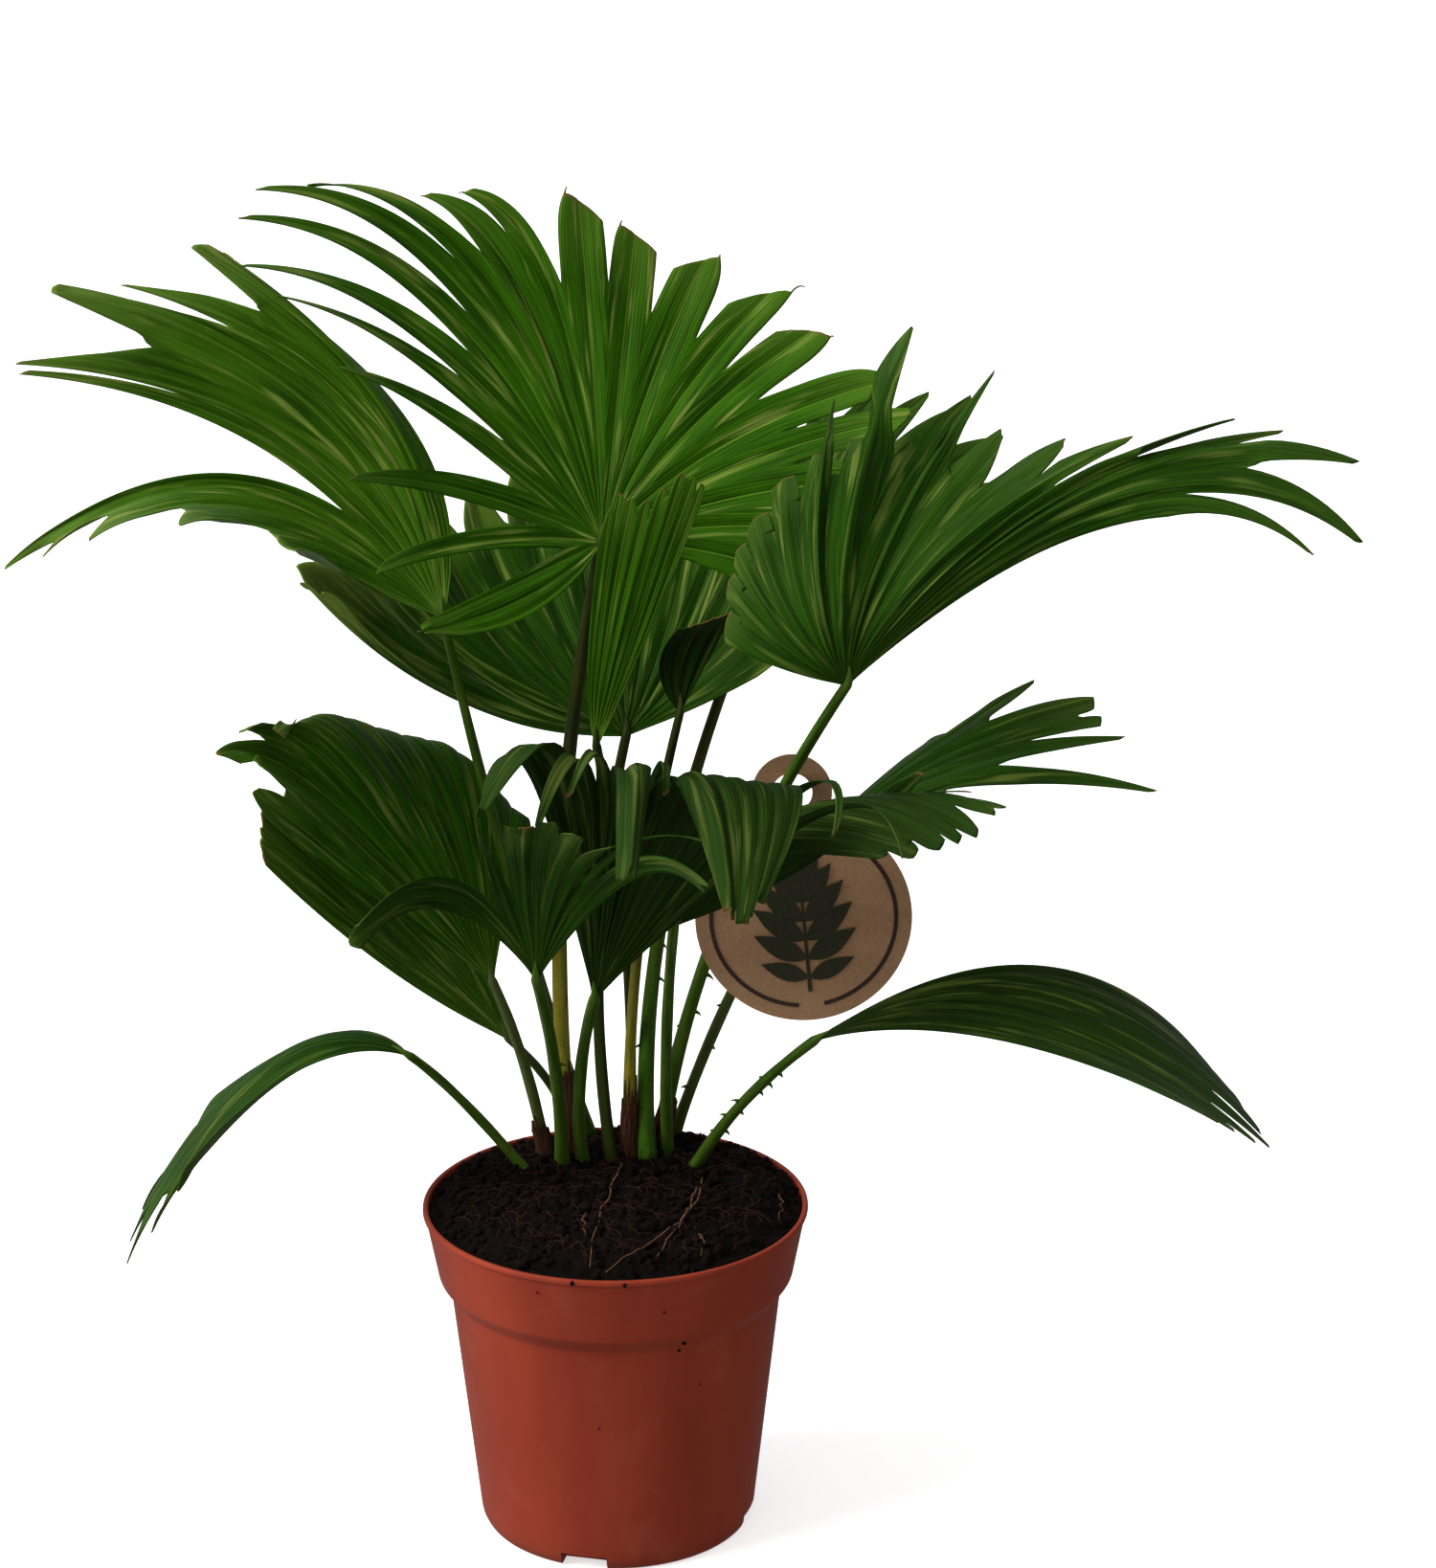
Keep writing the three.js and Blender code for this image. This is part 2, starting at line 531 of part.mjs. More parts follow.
// A round limb along a line: its first ring lies level, as the cut at its foot
function limb(line, radiusAt, sides, rings) {
  const positions = [];
  const ringAt = (i) => {
    const share = i / rings;
    const centre = line.getPointAt(share);
    const along = i === 0 ? new THREE.Vector3(0, 0, 1) : line.getTangentAt(share);
    const across = new THREE.Vector3(0, 1, 0).cross(along).normalize();
    const other = along.clone().cross(across);
    return Array.from({ length: sides }, (_, k) => {
      const turn = 2 * Math.PI * k / sides;
      const radius = radiusAt(share);
      return plus(centre, scaled(across, radius * Math.cos(turn)), scaled(other, radius * Math.sin(turn)));
    });
  };
  const loops = Array.from({ length: rings + 1 }, (_, i) => ringAt(i));
  const add = (...points) => points.forEach((point) => positions.push(point.x, point.y, point.z));
  for (let i = 0; i < rings; i += 1) {
    for (let k = 0; k < sides; k += 1) {
      const next = (k + 1) % sides;
      add(loops[i][k], loops[i][next], loops[i + 1][next]);
      add(loops[i][k], loops[i + 1][next], loops[i + 1][k]);
    }
  }
  for (let k = 1; k + 1 < sides; k += 1) {
    add(loops[0][0], loops[0][k + 1], loops[0][k]);
    add(loops[rings][0], loops[rings][k], loops[rings][k + 1]);
  }
  const geometry = new THREE.BufferGeometry();
  geometry.setAttribute('position', new THREE.Float32BufferAttribute(positions, 3));
  return geometry;
}

function stemRadius(leaf, share) {
  const [foot, top] = leaf.stem;
  const flare = PETIOLE.flare * foot * Math.max(0, 1 - share / PETIOLE.flareShare) ** 2;
  return foot + (top - foot) * share + flare;
}

function makeStem(leaf) {
  const geometry = limb(stemLine(leaf), (share) => stemRadius(leaf, share), PETIOLE.sides, PETIOLE.rings);
  return meshOf(`petiole_${leaf.name}`, geometryOf(solidOf(geometry)), COLOURS[leaf.stemColour ?? 'stem'], 0.5);
}

// A sleeve round the foot of a stem, open on one side and pointed at its top
function makeSheath({ leaf: name, height, reach, faces: bearing }) {
  const leaf = LEAVES.find((each) => each.name === name);
  const line = stemLine(leaf);
  const length = line.getLength();
  const { thickness, columns, rows, pointing, pointPower, looseness } = SLEEVE;
  const corners = [];
  const ups = [];
  const faces = [];
  for (let i = 0; i <= rows; i += 1) {
    for (let k = 0; k <= columns; k += 1) {
      const aside = 2 * k / columns - 1;
      const turn = radians(bearing + 180 + aside * reach / 2);
      const top = height * (1 - pointing * Math.abs(aside) ** pointPower);
      const share = (i / rows) * top / length;
      const centre = line.getPointAt(share);
      const out = new THREE.Vector3(Math.cos(turn), Math.sin(turn), 0);
      const clear = stemRadius(leaf, share) + GAP + FACET_ROOM + looseness * (1 - i / rows);
      corners.push(plus(centre, scaled(out, clear + thickness / 2)));
      ups.push(out);
    }
  }
  const at = (i, k) => i * (columns + 1) + k;
  for (let i = 0; i < rows; i += 1) {
    for (let k = 0; k < columns; k += 1) {
      faces.push([at(i, k), at(i, k + 1), at(i + 1, k + 1)], [at(i, k), at(i + 1, k + 1), at(i + 1, k)]);
    }
  }
  const sleeve = solidOf(thickened({ corners, ups, faces, thickness }));
  return meshOf(`sheath_${name}`, geometryOf(sleeve), COLOURS.sheath, 0.9);
}

function makeTag() {
  const { discRadius, ringRadius, holeRadius, apart, thickness, neck, hole, swing } = TAG;
  const { discSides, ringSides, holeSides } = TAG;
  const plate = (radius, sides) => new THREE.CylinderGeometry(radius, radius, thickness, sides);
  const disc = plate(discRadius, discSides).translate(0, 0, -apart);
  const ring = plate(ringRadius, ringSides);
  const bridge = new THREE.BoxGeometry(neck, thickness, apart - discRadius);
  bridge.translate(0, 0, -(apart - discRadius / 2 - holeRadius) / 2 - holeRadius);
  const bore = new THREE.CylinderGeometry(holeRadius, holeRadius, 4 * thickness, holeSides);
  const card = solidOf(disc).add(solidOf(bridge)).add(solidOf(ring)).subtract(solidOf(bore));
  const mesh = meshOf('tag', geometryOf(card), COLOURS.card, 0.9);
  mesh.position.set(...hole);
  mesh.rotation.y = radians(swing);
  return mesh;
}

const palm = new THREE.Group();
palm.add(makePot(), makeSoil());
LEAVES.forEach((leaf) => palm.add(makeStem(leaf), makeFrond(leaf)));
SHEATHS.forEach((sheath) => palm.add(makeSheath(sheath)));
palm.add(makeTag());

export default palm;
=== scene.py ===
"""A young footstool palm in a nursery pot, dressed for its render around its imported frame."""
from dataclasses import dataclass, field
from math import asin, cos, degrees, hypot, pi, radians, sin, sqrt
from types import SimpleNamespace as Sizes

import bmesh
import bpy
import numpy as np
from mathutils import Matrix, Vector, noise
from mathutils.geometry import tessellate_polygon


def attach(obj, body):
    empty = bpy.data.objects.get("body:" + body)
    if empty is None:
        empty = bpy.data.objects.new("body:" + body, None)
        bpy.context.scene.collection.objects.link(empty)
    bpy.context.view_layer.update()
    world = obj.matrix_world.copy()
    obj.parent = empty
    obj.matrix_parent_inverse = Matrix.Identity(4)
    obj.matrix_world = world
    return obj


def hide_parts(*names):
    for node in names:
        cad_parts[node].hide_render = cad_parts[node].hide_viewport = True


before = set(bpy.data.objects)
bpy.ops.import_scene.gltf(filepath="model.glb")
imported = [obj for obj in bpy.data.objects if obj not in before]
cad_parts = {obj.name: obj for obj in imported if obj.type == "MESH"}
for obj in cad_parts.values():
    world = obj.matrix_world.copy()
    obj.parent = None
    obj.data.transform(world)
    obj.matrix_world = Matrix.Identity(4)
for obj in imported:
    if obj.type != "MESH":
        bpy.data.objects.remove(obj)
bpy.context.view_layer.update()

# Every size below is in millimetres and every angle in degrees, unless a comment says otherwise
MM = 0.001
SEED = 7


@dataclass
class Leaf:
    """One leaf: where its stem stands, bows and ends, and the folds of its blade.

    look names the copy of the leaf green that its blade is painted with, made lighter or darker for the light
    that falls on the blade (painted light and shade), and stalk the colours of its stem. Bearings turn from
    +X towards +Y.
    tips has rows of [fold, right, back, up, turn, spring, joined]: the fold's tip seen from the hub, the
    angle at which it starts and how far it keeps to it, and the share of it that is joined to the next. The
    free end of a fold is a strap. straps has rows of [fold, taper, end, twist, droop, slant]: how late it
    narrows, half its width at its end, how far it turns over, how far its end hangs, and the share that is
    cut off obliquely, on the side of the next fold, or of the one before where it is below 0. threads gives
    the lengths of the withered threads at the corners of straps. thorns is the shares of the stem between
    which they stand, and how many.
    """
    look: str
    foot: tuple
    bow: tuple
    stem: tuple
    hub: tuple
    aim: tuple
    tips: list
    straps: tuple = ((0, 1.7, 0.5, 14, 2, 0.06),)
    threads: dict = field(default_factory=dict)
    pleat: float = 0.36
    roll: float = 0
    stalk: str = "green"
    thorns: tuple = (0, 0, 0)


LEAVES = {}
LEAVES["top"] = Leaf(look="bright", stalk="gold", foot=(-17.5, 38), bow=(-9, 4, 0), stem=(3.0, 2.2),
    hub=(-3, 12, 366), aim=(95, 60), threads={11: 1, 12: 2, 13: 5, 14: 4, 15: 2, 16: 8, 17: 2}, tips=[
    [0, -59, -44, -20, -144, 0.58, 0.94], [1, -61, -44, -19.5, -132, 0.52, 0.94],
    [2, -60, -44, -18, -116, 0.5, 0.14], [3, -76, -40, 2, -82, 0.5, 0.24],
    [4, -84, -38, 35, -62, 0.5, 0.26], [5, -87, -34, 72, -44, 0.6, 0.34],
    [6, -108, -24, 93, -36, 0.66, 0.44], [7, -122, -12, 102, -29, 0.7, 0.46],
    [8, -123, 3, 115, -23, 0.76, 0.5], [9, -118, 13, 123, -18, 0.8, 0.58],
    [10, -102, 28, 123, -12, 0.84, 0.66], [11, -63, 46, 117, -8, 0.78, 0.8],
    [12, -49, 50, 118, -3, 0.86, 0.7], [13, -9, 54, 113, 0, 0.5, 0.78], [14, 11, 56, 100, 8, 0.5, 0.76],
    [15, 37, 54, 92, 15, 0.5, 0.7], [16, 63, 48, 82, 23, 0.5, 0.67], [17, 77, 38, 69, 32, 0.5, 0.67],
    [18, 97, 24, 51, 43, 0.5, 0.62], [19, 108, 8, 42, 54, 0.5, 0.62], [20, 104, -8, 24, 66, 0.5, 0.62],
    [21, 96, -18, 6, 78, 0.5, 0.64], [22, 80, -22, -14, 90, 0.5, 0.6]
], straps=[
    [0, 1, 0.8, 4, 1, 0.1], [2, 1, 0.8, 4, 1, 0.1], [3, 3, 1.4, 15, 3, 0.1], [4, 2.4, 0.6, 20, 3, 0.06],
    [7, 2.2, 0.6, 30, 3, 0.06], [10, 2, 0.7, 40, 3, 0.06], [12, 2.4, 1, 30, 3, 0.1],
    [13, 7, 5.5, 8, 0, 0.36], [14, 8, 6.2, 6, 0, 0.28], [15, 5, 4.5, 8, 0, -0.4], [16, 6, 5, 8, 0, -0.56],
    [17, 6, 5.5, 8, 0, -0.4], [18, 6, 4.5, 8, 0, 0.14], [19, 5, 3.5, 8, 0, 0.2], [22, 3, 2, 10, 1, 0.1]
])
LEAVES["left"] = Leaf(look="sunny", thorns=(0.2, 0.6, 4), foot=(-11, 53), bow=(-3, 2, 0), stem=(2.4, 1.5),
    hub=(-58, 0, 342), aim=(95, 66), tips=[
    [0, -43, -70, 42, -62, 0.6, 0.75], [1, -80, -68, 50, -52, 0.62, 0.8],
    [2, -111, -62, 44, -45, 0.66, 0.86], [3, -127, -58, 38, -40, 0.7, 0.88],
    [4, -141, -52, 32, -36, 0.7, 0.29], [5, -136, -34, 93, -30, 0.56, 0.57],
    [6, -139, -24, 94, -24, 0.56, 0.78], [7, -128, -10, 116, -17, 0.6, 0.97],
    [8, -127, 0, 115, -11, 0.6, 0.72], [9, -108, 12, 114, -3, 0.6, 0.78],
    [10, -85, 24, 125, 2, 0.54, 0.96], [11, -76, 36, 120, 6, 0.49, 0.96],
    [12, -69, 48, 110, 10, 0.47, 0.96], [13, -62, 58, 101, 14, 0.48, 0.9]
], straps=[
    [0, 1.3, 0.4, 10, 1, 0.1], [4, 1.5, 0.4, 10, 2, 0.05], [5, 1.2, 0.8, 20, 0, 0.05],
    [6, 0.9, 0.4, 30, 0, 0.05], [7, 1.5, 1, 10, 0, 0.1], [8, 1.5, 0.8, 10, 0, 0.1],
    [9, 1, 0.3, 50, 0, 0.05], [10, 1.3, 0.6, 10, 0, 0.05], [11, 4, 5, 4, 0, 0.5], [12, 4, 5, 4, 0, 0.5],
    [13, 3, 1.5, 6, 0, 0.2]
])
LEAVES["right"] = Leaf(look="middle", thorns=(0.15, 0.75, 10), foot=(15.5, 46.5), bow=(-9, 12, 0),
    stem=(2.8, 1.8), hub=(80, -60, 335), aim=(-80, 66), tips=[
    [0, -41, 10, 20, 70, 0.5, 0.84], [1, -40, 17, 32, 61, 0.5, 0.84], [2, -37, 25, 41, 53, 0.5, 0.84],
    [3, -31, 33, 50, 45, 0.5, 0.84], [4, -20, 45, 61, 38, 0.5, 0.82], [5, -9, 54, 68, 31, 0.5, 0.8],
    [6, -3, 68, 82, 25, 0.5, 0.74], [7, 3, 60, 72, 19, 0.5, 0.8], [8, 23, 60, 109, 12, 0.55, 0.62],
    [9, 43, 50, 87, 5, 0.5, 0.7], [10, 51, 55, 95, 0, 0.5, 0.7], [11, 52, 30, 80, -5, 0.5, 0.76],
    [12, 72, 15, 80, -10, 0.5, 0.76], [13, 92, -5, 85, -16, 0.54, 0.72], [14, 98, -6, 75, -20, 0.56, 0.7],
    [15, 123, -18, 94, -25, 0.6, 0.76], [16, 139, -15, 89, -29, 0.66, 0.82],
    [17, 162, -25, 82, -32, 0.75, 0.8], [18, 163, -32, 58, -35, 0.84, 0.72],
    [19, 147, -38, 55, -38, 0.89, 0.78]
], straps=[
    [0, 6, 7, 3, 0, -0.65], [3, 6, 7, 4, 0, -0.6], [4, 3, 3, 8, 0, -0.4], [5, 2, 1.5, 20, 2, 0.1],
    [6, 1, 0.4, 40, 0, 0.05], [7, 1.8, 1, 20, 2, 0.1], [8, 1.3, 0.4, 20, 0, 0.03],
    [9, 1.6, 0.8, 15, 0, 0.1], [10, 0.8, 0.3, 30, 0, 0.05], [11, 1.5, 0.7, 15, 0, 0.1],
    [13, 1.3, 0.6, 15, 0, 0.1], [15, 1.6, 1, 10, 0, 0.1], [16, 1.2, 0.5, 20, 0, 0.05],
    [18, 1.4, 0.8, 10, 2, 0.05], [19, 1, 0.4, 20, 2, 0.05]
])
LEAVES["back_middle"] = Leaf(look="shaded", stalk="dark", foot=(-2, 28.5), bow=(-7.5, 2, 0),
    stem=(2.3, 1.8), hub=(4, 45, 286), aim=(95, 45), tips=[
    [0, -106, -25, 62, -90, 0.52, 0.93], [2, -116, -12, 68, -84, 0.5, 0.93],
    [4, -75, 55, 76, -58, 0.5, 0.78], [8, -7, 105, 93, 0, 0.5, 0.78], [11, 38, 66, 80, 34, 0.5, 0.78],
    [13, 54, 22, 58, 54, 0.5, 0.78], [15, 58, -12, 38, 68, 0.5, 0.78]
])
LEAVES["back_right"] = Leaf(look="middle", stalk="brown", thorns=(0.2, 0.6, 4), foot=(11.2, 31),
    bow=(-14, -14, 0), stem=(3.1, 1.8), hub=(54, 100, 327), aim=(70, 45), tips=[
    [0, -33, 18, 12, -70, 0.5, 0.72], [2, -8, 42, 42, -40, 0.5, 0.72], [5, 27, 45, 65, -5, 0.5, 0.72],
    [8, 78, 32, 65, 28, 0.5, 0.72], [10, 93, 8, 40, 60, 0.5, 0.72], [11, 71, -12, 20, 78, 0.5, 0.72]
])
LEAVES["lower_left"] = Leaf(look="bright", stalk="grey", foot=(-26.5, 32.5), bow=(2, 2, 0),
    stem=(2.3, 1.8), hub=(-44, 15, 202), aim=(130, 70), pleat=0.2, tips=[
    [0, -76, -61, 92, -42, 0.6, 0.86], [1, -74, -59, 100, -34, 0.72, 0.93],
    [2, -89, -55, 103, -28, 0.82, 0.86], [3, -81, -49, 109, -23, 0.9, 0.92],
    [4, -68, -43, 106, -19, 0.98, 0.97], [5, -66, -25, 101, -14, 1.07, 0.97],
    [6, -62, 0, 92, -9, 1.17, 0.97], [8, -50, 35, 66, 2, 1.44, 0.97], [10, -28, 55, 50, 12, 1.58, 0.97],
    [12, 4, 50, 34, 22, 1.6, 0.97]
], straps=[
    [0, 2, 1, 4, 0, 0.1], [1, 3, 2, 4, 0, 0.1], [2, 1.5, 0.5, 6, 0, 0.05], [3, 1.5, 1, 6, 0, 0.05],
    [4, 4, 5, 4, 0, 0.03], [12, 4, 9, 4, 0, 0.03]
])
LEAVES["under_left"] = Leaf(look="sunny", stalk="grey", foot=(-17.5, 56), bow=(3, 3, 0), stem=(1.9, 1.5),
    hub=(-40, 38, 171), aim=(140, 60), pleat=0.24, tips=[
    [0, -83, -46, 87, -49, 0.46, 0.92], [1, -84, -44, 91, -43, 0.47, 0.92],
    [2, -84, -42, 95, -37, 0.5, 0.92], [3, -84, -38, 100, -31, 0.54, 0.92],
    [6, -60, 5, 98, -15, 0.5, 0.95], [9, -36, 25, 68, 6, 0.5, 0.95]
], straps=[
    [0, 6, 9, 2, 0, -0.3], [3, 6, 9, 2, 0, -0.25], [9, 4, 9, 4, 0, 0.03]
])
LEAVES["small_front"] = Leaf(look="middle", thorns=(0.3, 0.7, 2), foot=(-20.4, 27), bow=(1.5, 8, 0),
    stem=(2.5, 2.0), hub=(-25, -50, 227), aim=(-95, 76), tips=[
    [0, -57, -62, 35, 28, 0.7, 0.97], [1, -55, -58, 40, 21, 0.82, 0.4], [2, -17, -32, 63, 15, 0.6, 0.5],
    [3, -7, -30, 65, 10, 0.6, 0.93], [4, -1, -34, 66, 5, 0.6, 0.95], [5, 6, -32, 67, -2, 0.6, 0.93],
    [6, 16, -34, 63, -9, 0.6, 0.8], [7, 28, -36, 60, -14, 0.7, 0.48], [8, 60, -48, 65, -19, 0.77, 0.45],
    [9, 59, -52, 52, -24, 0.85, 0.96], [10, 58, -50, 49, -29, 0.84, 0.9]
], straps=[
    [0, 1.7, 0.4, 8, 0, 0.05], [1, 1.7, 0.4, 8, 0, 0.05], [2, 0.8, 0.6, 40, 0, 0.05],
    [3, 3, 3, 10, 0, 0.1], [6, 2, 2, 10, 0, 0.1], [8, 0.7, 0.5, 20, 0, 0], [9, 1, 0.4, 10, 0, 0],
    [10, 1, 0.4, 10, 0, 0]
])
LEAVES["centre_front"] = Leaf(look="dark", foot=(-13, 29), bow=(-3, 2, 0), stem=(2.5, 2.0),
    hub=(-6, -32, 213), aim=(-90, 74), tips=[
    [0, -36, -50, 83, 7, 1.5, 0.94], [1, -34, -52, 86, 1, 1.5, 0.68], [2, -16, -58, 82, -3, 1.5, 0.68],
    [3, -6, -52, 90, -4, 1.42, 0.7], [4, 12, -76, 70, -6, 1.56, 0.96], [5, 16, -76, 71, -10, 1.58, 0.64],
    [6, 26, -50, 90, -12, 1.3, 0.7], [7, 46, -78, 60, -12, 1.56, 0.97], [8, 48, -78, 57, -16, 1.6, 0.97],
    [9, 50, -79, 56, -20, 1.62, 0.97], [10, 52, -79, 56, -24, 1.62, 0.97],
    [11, 54, -78, 58, -28, 1.62, 0.97], [12, 57, -76, 62, -32, 1.6, 0.6],
    [13, 81, -64, 80, -35, 1.28, 0.5], [14, 104, -66, 73, -38, 1.1, 0.5]
], straps=[
    [0, 3, 1.5, 0, 0, 0.05], [2, 2.2, 1, 0, 0, 0.05], [3, 1.6, 0.8, 0, 0, 0.05], [4, 2.4, 2.2, 0, 0, 0.05],
    [6, 1.5, 1, 0, 0, 0.05], [7, 1.6, 1.2, 0, 0, 0.05], [12, 1.6, 1.2, 0, 0, 0.05],
    [13, 0.6, 1, 10, 0, 0.1], [14, 0.6, 0.8, 10, 0, 0.1]
])
LEAVES["mid_right"] = Leaf(look="middle", stalk="grey", thorns=(0.2, 0.5, 3), foot=(20.5, 53),
    bow=(-3.5, 2, 0), stem=(2.2, 1.8), hub=(71, 0, 260), aim=(10, 35), tips=[
    [0, 50, 44, 27, -28, 0.35, 0.9], [1, 70, 42, 40, -24, 0.4, 0.8], [2, 80, 40, 48, -20, 0.45, 0.72],
    [3, 100, 22, 45, -14, 0.5, 0.93], [4, 102, 15, 40, -9, 0.5, 0.6], [5, 109, 2, 38, -2, 0.5, 0.55],
    [6, 118, -20, 25, 7, 0.5, 0.5], [7, 64, -38, 25, 16, 0.5, 0.75], [8, 49, -36, 27, 26, 0.5, 0.75]
], straps=[
    [0, 3, 2, 6, 0, 0.1], [2, 1.2, 0.4, 20, 0, 0.05], [3, 3, 2.4, 6, 0, 0.1], [4, 3, 2.4, 6, 0, 0.1],
    [5, 0.9, 0.5, 20, 0, 0.05], [6, 0.9, 0.6, 15, 0, 0.05], [7, 1.2, 1, 10, 0, 0.05],
    [8, 1.2, 1, 10, 0, 0.05]
])
LEAVES["front_right"] = Leaf(look="dark", foot=(18.5, 37), bow=(-1.5, 4, 0), stem=(2.3, 1.8),
    hub=(22, -34, 241), aim=(-8, 50), roll=-65, pleat=0.25, tips=[
    [0, 71, -46, 41, 23, 0.5, 0.96], [1, 81, -45, 41, 19, 0.62, 0.94], [2, 90, -42, 43, 14, 0.76, 0.92],
    [3, 96, -40, 44, 9, 0.8, 0.9], [4, 102, -37, 45, 4, 0.8, 0.88], [5, 108, -34, 52, -4, 0.76, 0.85],
    [6, 100, -30, 58, -12, 0.7, 0.85], [7, 94, -26, 60, -20, 0.62, 0.85], [8, 84, -20, 62, -30, 0.54, 0.85]
], straps=[
    [0, 3, 1.5, 6, 0, 0.05], [2, 3, 2, 6, 0, 0.1], [4, 2, 1.2, 6, 0, 0.1], [8, 1.5, 0.8, 10, 0, 0.1]
])
LEAVES["left_strap"] = Leaf(look="middle", foot=(-34, 21), bow=(-2.5, 3, 4), stem=(2.0, 1.6),
    hub=(-73, 0, 179), aim=(170, 30), tips=[
    [0, -79, -45, -31, -24, 0.46, 0.85], [1, -90, -38, -50, -14, 0.47, 0.85],
    [2, -101, -28, -66, -4, 0.47, 0.85], [4, -99, 0, -58, 12, 0.46, 0.85],
    [5, -82, 14, -36, 24, 0.46, 0.85]
])
LEAVES["right_strap"] = Leaf(look="dark", thorns=(0.2, 0.8, 9), foot=(28.7, 24.5), bow=(-3, 4, 0),
    stem=(2.2, 1.8), hub=(71, -25, 195), aim=(-25, 38), roll=30, tips=[
    [0, 127, -86, 7, 19, 0.52, 0.9], [2, 138, -78, -2, 10, 0.52, 0.86], [4, 152, -63, -14, 3, 0.59, 0.84],
    [6, 148, -32, -15, 0, 0.74, 0.94], [7, 143, -10, -14, -2, 0.8, 0.9]
], straps=[
    [0, 1.5, 0.6, 10, 0, 0.08], [4, 1.2, 0.6, 10, 0, 0.02], [6, 3, 1.5, 6, 0, 0.1], [7, 2, 0.8, 6, 0, 0.08]
])
LEAVES["spatula"] = Leaf(look="dark", stalk="gold", foot=(4.4, 34.5), bow=(-5.5, 2, 0), stem=(2.3, 1.5),
    hub=(24, -5, 309), aim=(90, 80), tips=[
    [0, 1, -9, 33, -34, 0.6, 1], [3, 16, -5, 37, 20, 0.6, 1]
])
LEAVES["spear"] = Leaf(look="young", stalk="dark", foot=(4, 48), bow=(4.5, 2, 0), stem=(1.9, 1.6),
    hub=(-5, -8, 298), aim=(90, 86), pleat=0.6, tips=[
    [0, 6, -4, 86, -20, 0.2, 0.86], [1, 9, -4, 91, -13, 0.2, 0.97], [3, 18, -2, 88, 2, 0.2, 0.9],
    [5, 30, 0, 97, 17, 0.2, 0.97], [7, 37, 2, 93, 27, 0.25, 0.9]
], straps=[
    [0, 2, 0.5, 6, 0, 0.1]
])

# The blades: where their folds start past the hub, and the limits of a strap's half width
BLADE_START = 0.5
BLADE_THICKNESS = 0.45
WIDEST_HALF = 9
NARROWEST_HALF = 0.4
# The share of a strap in which it leaves the shared ridge for its own line
SETTLE = 0.25
# By how much straps differ by chance in how far they turn over and how far they hang
STRAP_CHANCE = (0.4, 0.3)
# How far a fold's sides bulge, for its half width, and the share by which its end is ragged
BULGE = 0.06
RAGGED = 0.012
THREAD_STEPS = 10
STEPS = 48
COLUMNS = 13
CURVE_SAMPLES = 160
# Steps along a fold, closer together towards its end
SHARES = 1 - (1 - np.linspace(0, 1, STEPS)) ** 1.15
SPREAD = np.linspace(-1, 1, COLUMNS)


def on_circle(radius, turn):
    """A place on a circle round the middle, at a turn in radians."""
    return np.array([radius * cos(turn), radius * sin(turn)])


def heading(bearing, climb):
    return np.array([*on_circle(cos(radians(climb)), radians(bearing)), sin(radians(climb))])


def unit(v):
    return v / np.maximum(np.linalg.norm(v, axis=-1, keepdims=True), 1e-9)


def turned_about(v, axis, angle):
    """v turned about an axis by an angle in radians; each may be one or a row of them."""
    cosine = np.cos(angle)[..., None]
    sine = np.sin(angle)[..., None]
    along = np.sum(axis * v, axis=-1, keepdims=True) * axis
    return v * cosine + np.cross(axis, v) * sine + along * (1 - cosine)


def ease(x):
    x = np.clip(x, 0, 1)
    return x * x * (3 - 2 * x)


def along_rows(rows, fold):
    """The values of a table at any fold, smooth between its rows."""
    folds = [row[0] for row in rows]
    values = np.array([row[1:] for row in rows], float)
    last = len(rows) - 1
    i = int(np.clip(np.searchsorted(folds, fold, side="left") - 1, 0, last - 1))
    share = np.clip((fold - folds[i]) / (folds[i + 1] - folds[i]), 0, 1)
    a, b, c, d = (values[int(np.clip(k, 0, last))] for k in (i - 1, i, i + 1, i + 2))
    return 0.5 * (2 * b + (c - a) * share + (2 * a - 5 * b + 4 * c - d) * share ** 2
                  + (3 * b - a - 3 * c + d) * share ** 3)


def between_rows(rows, fold):
    """The values of a table at any fold, straight between its rows."""
    values = np.array(rows, float)
    return [float(np.interp(fold, values[:, 0], values[:, k])) for k in range(1, values.shape[1])]


def sampled(line, places, wanted):
    """Points of a line at wanted places, given the places of its own points."""
    return np.stack([np.interp(wanted, places, values) for values in line.T], -1)


def run_along(points):
    """How far along a line each of its points is."""
    return np.concatenate([[0], np.cumsum(np.linalg.norm(np.diff(points, axis=0), axis=1))])


def at_shares(points, shares):
    """A line given by close points, at shares of its length, and that length."""
    run = run_along(points)
    return sampled(points, run, np.asarray(shares) * run[-1]), run[-1]


def bent(start, bend, end, samples=CURVE_SAMPLES):
    t = np.linspace(0, 1, samples)[:, None]
    return (1 - t) ** 2 * start + 2 * t * (1 - t) * bend + t ** 2 * end


def frame_of(leaf):
    """The way that a blade's middle leaves its hub, and the way across it."""
    bearing, climb = leaf.aim
    aim = heading(bearing, climb)
    side = np.array([sin(radians(bearing)), -cos(radians(bearing)), 0])
    return aim, turned_about(side, aim, np.array(radians(leaf.roll)))


